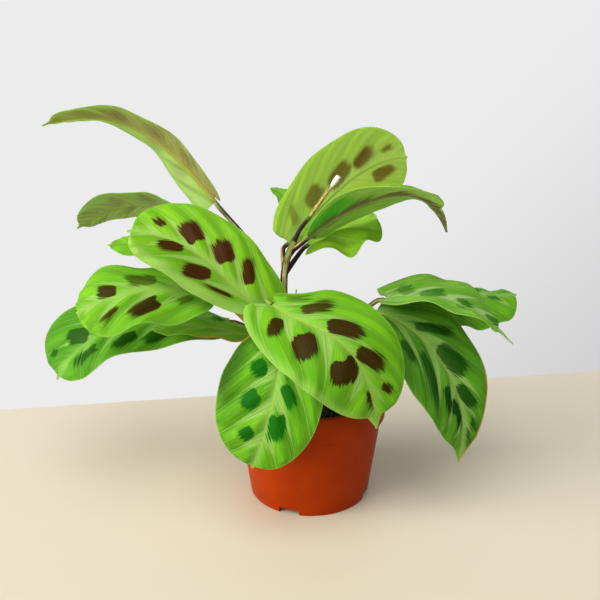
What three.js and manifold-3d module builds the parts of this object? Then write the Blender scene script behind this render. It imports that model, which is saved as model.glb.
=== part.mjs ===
// Prayer plant in a small plastic nursery pot. Millimetres, +Z up, origin at the centre of the pot's base.
// +X is the plant's right and -Y its front, where the two largest leaves hang over the rim.
import * as THREE from "three";
import { mergeVertices } from "three/addons/utils/BufferGeometryUtils.js";
import Module from "manifold-3d";

const wasm = await Module();
wasm.setup();

// Pot: a tapered shell with a straight band under its rim, standing on a notched foot ring and a centre pad.
const POT_HEIGHT = 75;
const RIM_RADIUS = 52.5;
const BAND_HEIGHT = 18;
const BODY_TOP_RADIUS = 49.5;
const BASE_RADIUS = 41.5;
const WALL = 1.5;
const FOOT_HEIGHT = 4.5;
const FOOT_WIDTH = 3;
const FLOOR = 1.8;
const PAD_RADIUS = 22;
const EDGE_ROUND = 0.7;
const POT_SEGMENTS = 48;
const NOTCHES = 4;
const NOTCH_WIDTH = 14;
const NOTCH_HEIGHT = 4;
const FIRST_NOTCH_DEG = -109;
const DRAIN_RADIUS = 3.5;
const DRAIN_AT = 31;

// Soil: fills the pot to just under the rim, with a slightly lumpy top.
const SOIL_TOP = 69;
const SOIL_SEGMENTS = 36;
const SOIL_RINGS = 6;
const LUMP = 1.1;
const FIT_GAP = 0.3;

// Stems stand this deep in plain round holes in the soil.
const PLANTED = 22;
const STEM_SIDES = 8;
const PETIOLE_SIDES = 6;

// Blades: rows run from base to tip, columns from edge to edge.
const BODY_ROWS = 12;
const COLUMNS_PER_HALF = 4;
const BLADE_THICKNESS = 0.8;
const KEEL_DEPTH = 1.1;
const BASE_HALF_WIDTH = 1.5;
const TIP_HALF_WIDTH = 0.8;
const LOBES_CLEAR = 2.5;

// Each blade: midrib is a cubic curve from the leaf stalk to the tip (start, two handles, end), and face is
// where its upper side looks at the base, the middle and the tip. halves are the widths of the left and
// right half, seen from above with the tip ahead. fold lifts each half about the midrib and curl bends it
// on towards the edge, in degrees. wave is the edge's height, count and phase. widest is where along
// the blade it is broadest, blunt how full its outline is, lobes how far the base is swept back, and
// point the length and the width of the drawn-out tip, as shares of the blade's.
const USUAL = {
  fold: [5, 5], curl: [5, 5], wave: [1, 3, 0], widest: [0.5, 0.5], blunt: 2.2, lobes: [6, 6],
  point: [0.03, 0.08],
};
const LEAVES = {
  leaf_left_arching: {
    midrib: [[-64, 18, 200], [-96, 31, 239], [-127, 36, 265], [-176, 21, 249]],
    face: [[0.3, 1, 0], [0.1, 0.66, 0.7], [0.1, 0.4, 0.9]],
    halves: [14, 22], fold: [4, 18], wave: [1, 3, 0], widest: [0.66, 0.3], lobes: [14, 2],
    point: [0.06, 0.3], blunt: 2.7,
  },
  leaf_left_back: {
    midrib: [[-69, 30, 165], [-88, 50, 199], [-139, 63, 201], [-172, 62, 174]],
    face: [[0.1, 0.4, 0.9], [0.1, 0.42, 0.9], [0.1, 0.5, 0.86]],
    halves: [19, 17], fold: [5, -5], curl: [10, -10], wave: [1, 3, 4.4], widest: [0.6, 0.42], blunt: 2.3,
    point: [0.05, 0.2],
  },
  leaf_left_upper: {
    midrib: [[-34, -15, 136.5], [-57, -17, 153], [-68, -6, 181], [-118, -4, 184]],
    face: [[0, -0.6, 0.8], [0, -0.6, 0.8], [0, -0.6, 0.8]],
    halves: [29, 31], fold: [12, 12], curl: [0, 0], wave: [0.8, 3, 0],
    widest: [0.68, 0.5], blunt: 2.8, lobes: [5, 17],
  },
  leaf_left_hidden: {
    midrib: [[-58, 4, 155], [-77, 11, 168], [-110, 21, 174], [-138, 20, 170]],
    face: [[0, -0.35, 0.94], [0, -0.35, 0.94], [0, -0.35, 0.94]],
    halves: [17, 16], fold: [0, 0], curl: [0, 0], wave: [1.2, 3, 0], lobes: [4, 3],
  },
  leaf_left_middle: {
    midrib: [[-62, -12, 142], [-90, -26, 156], [-119, -38, 154], [-143, -42, 140]],
    face: [[0, -0.5, 0.86], [0, -0.5, 0.86], [-0.3, -0.6, 0.8]],
    halves: [28, 29], fold: [-6, -6], curl: [0, 0], wave: [3.2, 2, 5.3],
    widest: [0.58, 0.67], blunt: 2.9, lobes: [0, 6], point: [0.02, 0.06],
  },
  leaf_left_low: {
    midrib: [[-58, 28, 113], [-89, 29, 117], [-149, 4, 130], [-173, -4, 81]],
    face: [[0, -0.5, 0.85], [0, -0.55, 0.83], [-0.3, -0.65, 0.7]],
    halves: [25, 33], fold: [0, 0], curl: [0, 0], wave: [3, 2.2, 2.8], widest: [0.55, 0.78], blunt: 2.8,
    point: [0.03, 0.1], lobes: [4, 0],
  },
  leaf_left_inner: {
    midrib: [[-41, 0, 112], [-60, 1, 117], [-80, 0, 123], [-107, 0, 116]],
    face: [[0, -0.1, 1], [0, -0.1, 1], [0, -0.1, 1]],
    halves: [17, 17], fold: [0, 0], curl: [0, 0], lobes: [3, 3],
  },
  leaf_front_large: {
    midrib: [[-24, -25, 141], [-5, -48, 130], [33, -62, 144], [41, -58, 72]],
    face: [[0, -0.7, 0.7], [0, -0.8, 0.6], [0.2, -0.8, 0.5]],
    halves: [30, 37], fold: [6, 11], curl: [-10, -10], widest: [0.64, 0.57], blunt: 2.4, lobes: [11, 17],
    point: [0.07, 0.24],
  },
  leaf_front_low: {
    midrib: [[-17, -36, 126], [-19, -67, 107], [-22, -65, 84], [-35, -68, 50]],
    face: [[-0.1, -0.8, 0.6], [-0.1, -0.95, 0.2], [0, -0.95, 0.1]],
    halves: [30, 34], fold: [4, 4], curl: [-10, -10], wave: [0.8, 3, 0], widest: [0.47, 0.5], blunt: 2.5,
    lobes: [5, 5], point: [0.02, 0.08],
  },
  leaf_right_upper: {
    midrib: [[49, -6, 139], [80, -19, 146], [98, -22, 146], [129, -26, 116]],
    face: [[0, -0.1, 1], [0, -0.1, 1], [0, -0.2, 1]],
    halves: [33, 25], fold: [13, 18], curl: [-10, -10], wave: [1.8, 2.5, 2.6], widest: [0.36, 0.5],
    lobes: [16, 5], point: [0.18, 0.16],
  },
  leaf_right_back: {
    midrib: [[61, 10, 132], [88, 20, 141], [124, 33, 130], [147, 36, 132]],
    face: [[0, -0.33, 0.95], [0, -0.33, 0.95], [0, -0.33, 0.95]],
    halves: [25, 28], fold: [-22, -22], curl: [0, 0], wave: [2, 3, 0], blunt: 2.3, point: [0.03, 0.1],
  },
  leaf_right_drooping: {
    midrib: [[44, -4, 130], [66, -18, 129], [107, -43, 100], [97, -36, 38]],
    face: [[0.2, -0.75, 0.6], [0.3, -0.75, 0.6], [0.3, -0.9, 0.2]],
    halves: [27, 33], fold: [8, 8], curl: [0, 0], wave: [1.5, 3, 0], widest: [0.45, 0.52], blunt: 1.8,
    lobes: [0, 6], point: [0.1, 0.3],
  },
  leaf_top_upright: {
    midrib: [[-15, 12, 173], [6, 31, 194], [36, 57, 226], [67, 47, 227]],
    face: [[-0.35, 0.85, 0.35], [-0.35, 0.85, 0.35], [-0.2, 0.8, 0.5]],
    halves: [37, 33], wave: [0.8, 3, 0], widest: [0.73, 0.5], blunt: 2.4, lobes: [4, 8],
    point: [0.02, 0.05],
  },
  leaf_top_arching: {
    midrib: [[-1, -3, 180], [18, -8, 198], [70, -21, 232], [84, -22, 187]],
    face: [[-0.2, 0.5, 0.75], [-0.1, 0.35, 0.9], [0, 0.25, 0.95]],
    halves: [24, 28], fold: [0, 0], wave: [2, 1.4, 5.2], widest: [0.45, 0.7], blunt: 2.6, lobes: [0, 2],
    point: [0.2, 0.4],
  },
  leaf_top_back: {
    midrib: [[-1, 9, 173], [14, 16, 184], [36, 17, 184], [44, 18, 191]],
    face: [[0, -0.45, 0.9], [0, -0.45, 0.9], [0, -0.45, 0.9]],
    halves: [16, 24], fold: [20, 0], curl: [-10, -10], wave: [6, 2, 5.97], widest: [0.5, 0.58], blunt: 1.9,
    lobes: [2, 12], point: [0.04, 0.1],
  },
  leaf_top_behind: {
    midrib: [[-11, 22, 172], [-12, 38, 190], [-14, 56, 199], [-29, 68, 203]],
    face: [[0.2, -0.3, 0.9], [0.2, -0.3, 0.9], [0.2, -0.3, 0.9]],
    halves: [8, 11], fold: [10, 10], curl: [0, 0], lobes: [2, 2], point: [0.03, 0.1],
  },
};

// The rolled new leaf stands on the upright stem.
const ROLLED_LEAF = { from: [0, -4, 194], to: [17.5, -10, 219.5], radii: [1.1, 1.1, 1.8], sides: 8 };

// A leaf stalk runs in line with its blade over the last few millimetres.
const STALK_LEAD = 5;

// Each stem is planted at foot and rises through path, with radii at its two ends. Its leaf stalks leave
// it at a share of its length (at) and pass through via to the base of their blade.
const STEMS = {
  stem_upright: {
    foot: [-10, 8], path: [[-15, 5, 110], [-17.5, 2, 141], [-16, 1, 162], [-10.5, 0, 177]], radii: [3.4, 2.2],
    stalks: [
      { leaf: "leaf_left_arching", at: 0.62, via: [[-30, 6, 161], [-46, 13, 180]], radii: [2, 1.4] },
      { leaf: "leaf_top_upright", at: 0.84, via: [], radii: [2, 1.4] },
      { leaf: "leaf_top_arching", at: 0.93, via: [], radii: [2, 1.5] },
      { leaf: "leaf_top_back", at: 0.82, via: [], radii: [1.9, 1.4] },
      { leaf: "leaf_top_behind", at: 0.9, via: [], radii: [1.8, 1.3] },
      { to: [0, -4, 193.7], at: 0.94, via: [[-6.5, -2, 185]], radii: [1.8, 1.1] },
    ],
  },
  stem_left: {
    foot: [-19, -1], path: [[-27, -3, 95], [-39, -5, 121], [-53, -6, 136]], radii: [3.6, 2.6],
    stalks: [
      { leaf: "leaf_left_middle", at: 0.96, via: [], radii: [2, 1.5] },
      { leaf: "leaf_left_hidden", at: 0.9, via: [[-56, 0, 144]], radii: [1.9, 1.4] },
      {
        leaf: "leaf_left_back", at: 0.82, via: [[-47, 0, 142], [-51, 10, 155], [-60, 20, 163]],
        radii: [1.9, 1.4],
      },
      { leaf: "leaf_left_low", at: 0.55, via: [[-32, 12, 103], [-42, 23, 109]], radii: [1.9, 1.4] },
      { leaf: "leaf_left_inner", at: 0.4, via: [[-33, 0, 104]], radii: [1.9, 1.4] },
    ],
  },
  stem_front: {
    foot: [-9, -13], path: [[-13, -17, 92], [-18, -20, 116], [-22, -22, 137]], radii: [3.4, 1.6],
    stalks: [
      { leaf: "leaf_front_large", at: 0.98, via: [], radii: [1.6, 1.5] },
      { leaf: "leaf_left_upper", at: 0.45, via: [[-24, -18, 116], [-27.5, -16.5, 127]], radii: [2, 1.2] },
      { leaf: "leaf_front_low", at: 0.3, via: [[-13, -27, 108]], radii: [2, 1.4] },
      { to: [-9, -10, 147], at: 0.35, via: [[-11, -14, 118]], radii: [2, 0.4] },
    ],
  },
  stem_right: {
    foot: [12, 3], path: [[18, 1, 95], [28, -1, 117], [36, -4, 132]], radii: [3.4, 2],
    stalks: [
      { leaf: "leaf_right_upper", at: 0.98, via: [], radii: [1.7, 1.5] },
      { leaf: "leaf_right_drooping", at: 0.8, via: [], radii: [1.9, 1.4] },
      { leaf: "leaf_right_back", at: 0.7, via: [[42, 3, 124]], radii: [1.9, 1.4] },
    ],
  },
};

const vector = ([x, y, z]) => new THREE.Vector3(x, y, z);
const radians = THREE.MathUtils.degToRad;
const mix = THREE.MathUtils.lerp;

// Solids and booleans.

function geometryOf(points, triangles) {
  const geometry = new THREE.BufferGeometry().setFromPoints(points);
  return geometry.setIndex(triangles.flat());
}

function solidOf(geometry) {
  const bare = geometry.clone();
  bare.deleteAttribute("normal");
  bare.deleteAttribute("uv");
  const merged = mergeVertices(bare, 1e-4);
  return new wasm.Manifold(
    new wasm.Mesh({
      numProp: 3,
      vertProperties: merged.attributes.position.array,
      triVerts: new Uint32Array(merged.index.array),
    }),
  );
}

function geometryFrom(solid) {
  const mesh = solid.getMesh();
  const geometry = new THREE.BufferGeometry();
  geometry.setAttribute("position", new THREE.BufferAttribute(mesh.vertProperties, 3));
  geometry.setIndex(new THREE.BufferAttribute(mesh.triVerts, 1));
  geometry.computeVertexNormals();
  return geometry;
}

function cut(geometry, cutters) {
  return geometryFrom(cutters.reduce((left, cutter) => left.subtract(solidOf(cutter)), solidOf(geometry)));
}

function joined(geometries) {
  return geometryFrom(geometries.map(solidOf).reduce((all, one) => all.add(one)));
}

// A lathe turned about Z from a closed profile of [radius, height] pairs.
function turned(profile, segments) {
  const points = profile.map(([radius, height]) => new THREE.Vector2(radius, height));
  return new THREE.LatheGeometry(points, segments).rotateX(Math.PI / 2);
}

// A closed tube along a curve whose radius goes from one value to the next along it.
function taperedTube(curve, radii, sides, steps) {
  const frames = curve.computeFrenetFrames(steps, false);
  const points = [];
  const triangles = [];
  for (let step = 0; step <= steps; step++) {
    const share = (step / steps) * (radii.length - 1);
    const low = Math.min(Math.floor(share), radii.length - 2);
    const radius = mix(radii[low], radii[low + 1], share - low);
    for (let side = 0; side < sides; side++) {
      const angle = (side / sides) * 2 * Math.PI;
      points.push(
        curve
          .getPointAt(step / steps)
          .addScaledVector(frames.normals[step], radius * Math.cos(angle))
          .addScaledVector(frames.binormals[step], radius * Math.sin(angle)),
      );
      if (step === steps) continue;
      const a = step * sides + side;
      const b = step * sides + ((side + 1) % sides);
      triangles.push([a, b, b + sides], [a, b + sides, a + sides]);
    }
  }
  for (let side = 1; side < sides - 1; side++) {
    const last = steps * sides;
    triangles.push([0, side + 1, side], [last, last + side, last + side + 1]);
  }
  return geometryOf(points, triangles);
}

// Pot.

function potProfile() {
  const bandBottom = POT_HEIGHT - BAND_HEIGHT;
  const floorTop = FOOT_HEIGHT + FLOOR;
  return [
    [0, 0],
    [PAD_RADIUS, 0],
    [PAD_RADIUS + EDGE_ROUND, FOOT_HEIGHT],
    [BASE_RADIUS - FOOT_WIDTH - EDGE_ROUND, FOOT_HEIGHT],
    [BASE_RADIUS - FOOT_WIDTH, 0],
    [BASE_RADIUS - EDGE_ROUND, 0],
    [BASE_RADIUS, EDGE_ROUND],
    [BODY_TOP_RADIUS, bandBottom],
    [RIM_RADIUS - EDGE_ROUND, bandBottom],
    [RIM_RADIUS - EDGE_ROUND / 2, bandBottom + EDGE_ROUND],
    [RIM_RADIUS, POT_HEIGHT - EDGE_ROUND],
    [RIM_RADIUS - EDGE_ROUND, POT_HEIGHT],
    [RIM_RADIUS - WALL - EDGE_ROUND, POT_HEIGHT],
    [RIM_RADIUS - WALL - EDGE_ROUND, bandBottom + WALL],
    [BODY_TOP_RADIUS - WALL, bandBottom],
    [BASE_RADIUS - WALL, floorTop],
    [0, floorTop],
  ];
}

function pot() {
  const shell = turned(potProfile(), POT_SEGMENTS);
  const cutters = [];
  for (let i = 0; i < NOTCHES; i++) {
    const angle = radians(FIRST_NOTCH_DEG + (i * 360) / NOTCHES);
    const notch = new THREE.BoxGeometry(FOOT_WIDTH * 5, NOTCH_WIDTH, NOTCH_HEIGHT * 2);
    cutters.push(notch.translate(BASE_RADIUS, 0, 0).rotateZ(angle));
    const drain = new THREE.CylinderGeometry(DRAIN_RADIUS, DRAIN_RADIUS, FLOOR * 4, 12).rotateX(Math.PI / 2);
    cutters.push(drain.translate(DRAIN_AT, 0, FOOT_HEIGHT + FLOOR / 2).rotateZ(angle));
  }
  return cut(shell, cutters);
}

// Soil.

function soilInside(height) {
  const bandBottom = POT_HEIGHT - BAND_HEIGHT;
  const floorTop = FOOT_HEIGHT + FLOOR;
  if (height >= bandBottom + WALL) return RIM_RADIUS - WALL - EDGE_ROUND - FIT_GAP;
  return mix(BASE_RADIUS, BODY_TOP_RADIUS, (height - floorTop) / (bandBottom - floorTop)) - WALL - FIT_GAP;
}

function lump(x, y) {
  const broad = Math.sin(x / 5.3 + 0.7 * Math.sin(y / 7.1)) * Math.cos(y / 6.1);
  return LUMP * (broad + 0.5 * Math.sin((x - y) / 3.7));
}

function soil() {
  const floor = FOOT_HEIGHT + FLOOR + FIT_GAP;
  const bandBottom = POT_HEIGHT - BAND_HEIGHT;
  const top = [];
  for (let ring = SOIL_RINGS; ring >= 0; ring--) {
    top.push([(soilInside(SOIL_TOP) * ring) / SOIL_RINGS, SOIL_TOP]);
  }
  const step = bandBottom + FIT_GAP * 1.5;
  const sides = [
    [soilInside(floor), floor],
    [soilInside(bandBottom), step],
    [soilInside(POT_HEIGHT), step + WALL],
  ];
  const mass = turned([[0, floor], ...sides, ...top], SOIL_SEGMENTS);
  const place = mass.attributes.position;
  for (let i = 0; i < place.count; i++) {
    const [x, y, z] = [place.getX(i), place.getY(i), place.getZ(i)];
    if (z > SOIL_TOP - LUMP / 2) place.setZ(i, z + lump(x, y));
  }
  const holes = Object.values(STEMS).map(({ foot, radii }) => {
    const radius = radii[0] + 2 * FIT_GAP;
    const hole = new THREE.CylinderGeometry(radius, radius, 2 * PLANTED, STEM_SIDES);
    return hole.rotateX(Math.PI / 2).translate(foot[0], foot[1], SOIL_TOP - FIT_GAP);
  });
  return cut(mass, holes);
}

// Blades.

function bladeCurve(leaf) {
  return new THREE.CubicBezierCurve3(...leaf.midrib.map(vector));
}

// Where the oval of the blade ends and only its point goes on.
function bodyEnd(leaf) {
  return 1 - 0.6 * leaf.point[0];
}

// Share of the half width at a share of the length: a full oval that ends in a short drawn-out point.
function outline(leaf, along, hand) {
  const [length, width] = leaf.point;
  const body = Math.min(along / bodyEnd(leaf), 1) ** (Math.log(0.5) / Math.log(leaf.widest[hand]));
  const oval = (1 - Math.abs(2 * body - 1) ** leaf.blunt) ** (1 / leaf.blunt);
  const taper = along < 0.5 ? 0.1 : width * Math.min((1 - along) / length, 1);
  return (oval ** 5 + taper ** 5) ** 0.2;
}

function bladeFrame(leaf, curve, along) {
  const [base, middle, tip] = leaf.face.map((way) => vector(way).normalize());
  const forward = curve.getTangent(along);
  const upper = new THREE.Vector3()
    .addScaledVector(base, (1 - along) * (1 - 2 * along))
    .addScaledVector(middle, 4 * along * (1 - along))
    .addScaledVector(tip, along * (2 * along - 1));
  upper.addScaledVector(forward, -upper.dot(forward)).normalize();
  const right = new THREE.Vector3().crossVectors(forward, upper);
  return { forward, upper, right };
}

// A point of the blade at a share of its length and a share of its half width, -1 at the left edge and
// 1 at the right, with the way that its upper side looks there.
function bladePoint(leaf, curve, along, across) {
  const { forward, upper, right } = bladeFrame(leaf, curve, along);
  const hand = across > 0 ? 1 : 0;
  const side = hand ? 1 : -1;
  const out = Math.abs(across);
  const share = outline(leaf, along, hand);
  const stalkEnd = BASE_HALF_WIDTH * Math.max(0, 1 - along / 0.03);
  const width = Math.max(leaf.halves[hand] * share, stalkEnd, TIP_HALF_WIDTH);
  const fold = radians(leaf.fold[hand]);
  const curl = radians(leaf.curl[hand]) + 1e-6;
  const turn = fold + curl * out;
  const [height, count, phase] = leaf.wave;
  const ripple = Math.sin(2 * Math.PI * count * along + phase + (hand ? 0 : 1.7));
  const lift = (width * (Math.cos(fold) - Math.cos(turn))) / curl;
  const rise = lift + height * out ** 2 * ripple * Math.min(1, 1.3 * share);
  const reach = (width * (Math.sin(turn) - Math.sin(fold))) / curl;
  const swept = Math.exp(-((along / 0.16) ** 2)) * Math.min(1, along / 0.03);
  const wing = Math.max(0, out - LOBES_CLEAR / width) ** 0.4;
  const point = curve
    .getPoint(along)
    .addScaledVector(right, side * reach)
    .addScaledVector(upper, rise)
    .addScaledVector(forward, -leaf.lobes[hand] * wing * swept);
  const normal = upper.clone().multiplyScalar(Math.cos(turn));
  normal.addScaledVector(right, -side * Math.sin(turn));
  return { point, normal: out ? normal : upper };
}

// Shares of the length where rows of points lie: closest at the two ends of the oval, then two for the point.
function bladeRows(leaf) {
  const end = bodyEnd(leaf);
  const rows = [];
  for (let row = 0; row <= BODY_ROWS; row++) {
    rows.push((end * (1 - Math.cos((Math.PI * row) / BODY_ROWS))) / 2);
  }
  return [...rows, (1 + end) / 2, 1];
}

// The blade as a closed solid: an upper and a lower sheet split alike, a rim between them, and a rib
// under the middle that thins towards the tip.
function blade(settings) {
  const leaf = { ...USUAL, ...settings };
  const curve = bladeCurve(leaf);
  const columns = 2 * COLUMNS_PER_HALF + 1;
  const upperPoints = [];
  const lowerPoints = [];
  const sheet = [];
  const rows = bladeRows(leaf);
  rows.forEach((along, row) => {
    for (let column = 0; column < columns; column++) {
      const across = column / COLUMNS_PER_HALF - 1;
      const { point, normal } = bladePoint(leaf, curve, along, across);
      const keel = across === 0 ? KEEL_DEPTH * (1 - along) : 0;
      upperPoints.push(point.clone().addScaledVector(normal, BLADE_THICKNESS / 2));
      lowerPoints.push(point.clone().addScaledVector(normal, -BLADE_THICKNESS / 2 - keel));
      if (row === rows.length - 1 || column === columns - 1) continue;
      const a = row * columns + column;
      sheet.push([a, a + 1, a + 1 + columns], [a, a + 1 + columns, a + columns]);
    }
  });
  return closedSheet(upperPoints, lowerPoints, sheet);
}

function closedSheet(upperPoints, lowerPoints, sheet) {
  const below = upperPoints.length;
  const edges = new Set();
  sheet.forEach(([a, b, c]) => [[a, b], [b, c], [c, a]].forEach((edge) => edges.add(edge.join())));
  const triangles = [...sheet, ...sheet.map(([a, b, c]) => [a + below, c + below, b + below])];
  for (const edge of edges) {
    const [a, b] = edge.split(",").map(Number);
    if (edges.has([b, a].join())) continue;
    triangles.push([b, a, a + below], [b, a + below, b + below]);
  }
  return geometryOf([...upperPoints, ...lowerPoints], triangles);
}

function rolledLeaf() {
  const { from, to, radii, sides } = ROLLED_LEAF;
  return taperedTube(new THREE.LineCurve3(vector(from), vector(to)), radii, sides, 4);
}

// Stems.

function stalkEnd(leaf) {
  const curve = bladeCurve(leaf);
  const way = curve.getTangent(0);
  return [STALK_LEAD, STALK_LEAD / 2, FIT_GAP].map((back) => curve.getPoint(0).addScaledVector(way, -back));
}

function stem({ foot, path, radii, stalks }) {
  const rise = [-PLANTED, -PLANTED / 2, -1, 2].map((height) => [foot[0], foot[1], SOIL_TOP + height]);
  const curve = new THREE.CatmullRomCurve3([...rise, ...path].map(vector), false, "centripetal");
  const tubes = [taperedTube(curve, radii, STEM_SIDES, 12)];
  for (const { leaf, to, at, via, radii: stalkRadii } of stalks) {
    const end = leaf ? stalkEnd(LEAVES[leaf]) : [vector(to)];
    const points = [curve.getPointAt(at), ...via.map(vector), ...end];
    const route = new THREE.CatmullRomCurve3(points, false, "centripetal");
    tubes.push(taperedTube(route, stalkRadii, PETIOLE_SIDES, 4 + 2 * via.length));
  }
  return joined(tubes);
}

// Colours.

const look = (color, roughness) => new THREE.MeshStandardMaterial({ color, roughness, metalness: 0 });
const terracottaPlastic = look("#b8430f", 0.45);
const peat = look("#1c1512", 0.95);
const stalkBrown = look("#6b5230", 0.55);
const leafGreen = look("#6fb52b", 0.5);
const newLeafCream = look("#d9c795", 0.5);

const plant = new THREE.Group();

function place(name, geometry, material) {
  const mesh = new THREE.Mesh(geometry, material);
  mesh.name = name;
  plant.add(mesh);
}

place("pot", pot(), terracottaPlastic);
place("soil", soil(), peat);
for (const [name, settings] of Object.entries(STEMS)) place(name, stem(settings), stalkBrown);
for (const [name, settings] of Object.entries(LEAVES)) place(name, blade(settings), leafGreen);
place("new_leaf_rolled", rolledLeaf(), newLeafCream);

export default plant;
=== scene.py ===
"""Looks of a prayer plant in a small plastic nursery pot, built around its solids. Metres, +Z up."""
import math
import random
from functools import partial
from types import SimpleNamespace

import bmesh
import bpy
from mathutils import Matrix, Vector, noise


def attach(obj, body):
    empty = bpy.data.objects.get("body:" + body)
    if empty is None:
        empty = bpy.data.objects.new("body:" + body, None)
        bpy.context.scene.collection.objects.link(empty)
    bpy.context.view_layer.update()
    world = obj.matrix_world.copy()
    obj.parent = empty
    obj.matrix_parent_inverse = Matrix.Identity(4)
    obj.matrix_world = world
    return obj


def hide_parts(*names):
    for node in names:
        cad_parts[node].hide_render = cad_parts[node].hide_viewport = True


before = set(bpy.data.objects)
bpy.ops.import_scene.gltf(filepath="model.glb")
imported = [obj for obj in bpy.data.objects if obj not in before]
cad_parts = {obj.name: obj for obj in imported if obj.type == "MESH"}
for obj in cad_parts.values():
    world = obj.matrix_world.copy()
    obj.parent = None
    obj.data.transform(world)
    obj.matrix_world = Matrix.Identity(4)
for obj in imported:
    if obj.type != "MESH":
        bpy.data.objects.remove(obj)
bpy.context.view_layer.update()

# Lengths and places are in millimetres, unless a comment says otherwise.
MM = 0.001

# Camera: level, in front of the pot, looking down a little.
CAMERA_PLACE = (0, -459, 266)
CAMERA_LENS = 43
CAMERA_SENSOR = 36
CAMERA_TURN_DEG = 0.84
CAMERA_DOWN_DEG = 15.7

# Lamps: place, target and width in metres, watts and colour. The left one is the main light.
LAMPS = {
    "lamp_left": ((-2.8, -1.4, 1.2), (0, 0, 0.12), 2.8, 125, "FFF9F2"),
    "lamp_high": ((-0.2, -1.3, 2.5), (0.1, -0.1, 0.1), 3.0, 58, "F6F8FF"),
}
ROOM_COLOUR = "F4F5F8"
ROOM_STRENGTH = 0.3

# The floor ends in a straight far edge, given from left to right. The wall stands far behind it.
FLOOR_EDGE = ((-275, 123), (294, 226))
FLOOR_REACH = 3000
BACKDROP_AT = 1900
BACKDROP_HALF_WIDTH = 2600
BACKDROP_HALF_HEIGHT = 1600

# Pot: moulded shell with a straight band under its rim, on a notched foot ring, with drain holes.
POT_HEIGHT = 75
RIM_RADIUS = 52.5
BAND_HEIGHT = 18
BODY_TOP_RADIUS = 49.5
BASE_RADIUS = 41.5
WALL = 1.5
FOOT_HEIGHT = 4.5
FOOT_WIDTH = 3
FLOOR = 1.8
PAD_RADIUS = 22
EDGE_ROUND = 0.7
NOTCHES = 4
NOTCH_WIDTH = 14
NOTCH_HEIGHT = 4
FIRST_NOTCH_DEG = -109
DRAIN_RADIUS = 3.5
DRAIN_AT = 31
POT_STEPS = 160

# Soil: peat, 6 mm under the rim. Its loose crumbs come in two ranges of radii, most of them small.
SOIL_TOP = 69
SOIL_GAP = 0.3
SOIL_STEPS = 120
SOIL_RINGS = 44
CRUMBS = 900
SMALL_CRUMBS = (0.4, 1.5)
LARGE_CRUMBS = (1.4, 2.4)
SMALL_SHARE = 0.85
CRUMB_DENTS = 0.16

# Blades: rows of points along them and columns across, closest at the midrib. The oval takes most of the
# rows and its drawn-out point the rest. It widens from its stalk over BASE_SHARE of its length, and
# its base is swept back over SWEPT_SHARE. The panels between the side veins bulge by QUILT.
BLADE_ROWS = 128
BLADE_COLUMNS = 52
SMALL_BLADE_ROWS = 72
SMALL_BLADE_COLUMNS = 32
BLADE_THICKNESS = 0.5
RIB_THICKNESS = 1.7
RIB_HALF_WIDTH = 0.9
BASE_HALF_WIDTH = 1.5
TIP_HALF_WIDTH = 0.8
LOBES_CLEAR = 2.5
BODY_ROWS_SHARE = 0.92
BASE_SHARE = 0.03
SWEPT_SHARE = 0.16
COLUMN_SPREAD = 1.35
QUILT = 2
MIDRIB_GROOVE = 0.25
VEIN_RIDGE = 0.1
MARGIN_WOBBLE = 0.5

# Side veins leave the midrib forwards and bend on towards the tip: forward = lean * out + VEIN_BEND * out
# squared. The main ones are PANEL apart where no blotches say otherwise.
VEIN_BEND = 0.012
PANEL = 24

# The pale fishbone: its half widths at the blade's base and tip, how far its spikes reach as a share of
# the way to the margin, and half the width of their feet as a share of a panel.
BONE_HALF_WIDTHS = (3.4, 1.8)
SPIKE_REACH = 0.62
SPIKE_FOOT = 0.22

# Each blade: midrib is a cubic curve from the leaf stalk to the tip, face where its upper side looks at
# the base, the middle and the tip. halves are the widths of the left and right half, fold and curl bend
# them about the midrib, in degrees, wave is the edge's height, count and phase, widest where each half is
# broadest, blunt how full the outline is, and lobes how far the base is swept back. Millimetres.
# lean is how far forward the side veins of the left and right half run for each millimetre outwards.
# spots are its blotches: side (-1 left, 1 right), how far along the midrib and how far out its inner end
# lies, the same for its outer end, half its width, how deep its inner end is notched, and its strength.
# point is how long the drawn-out tip is and how wide it starts, as shares of the length and half width.
# dry is a dried edge: side, from and to as shares of the length, and its width. dusk, given alike, is painted
# shade, a deeper green along the margin where it turns from the light, and band a pale band there, painted
# sheen: side and width. small blades have fewer rows.
USUAL = {
    "fold": (0, 0), "curl": (0, 0), "wave": (1, 3, 0), "widest": (0.5, 0.5), "blunt": 2.2, "lobes": (6, 6),
    "point": (0.03, 0.08), "lean": (1.3, 1.3), "spots": (), "dry": (1, 0, 0, 0), "band": (1, 0),
    "painted_margin_shade": (1, 0, 0, 0), "small": False,
}
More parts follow.
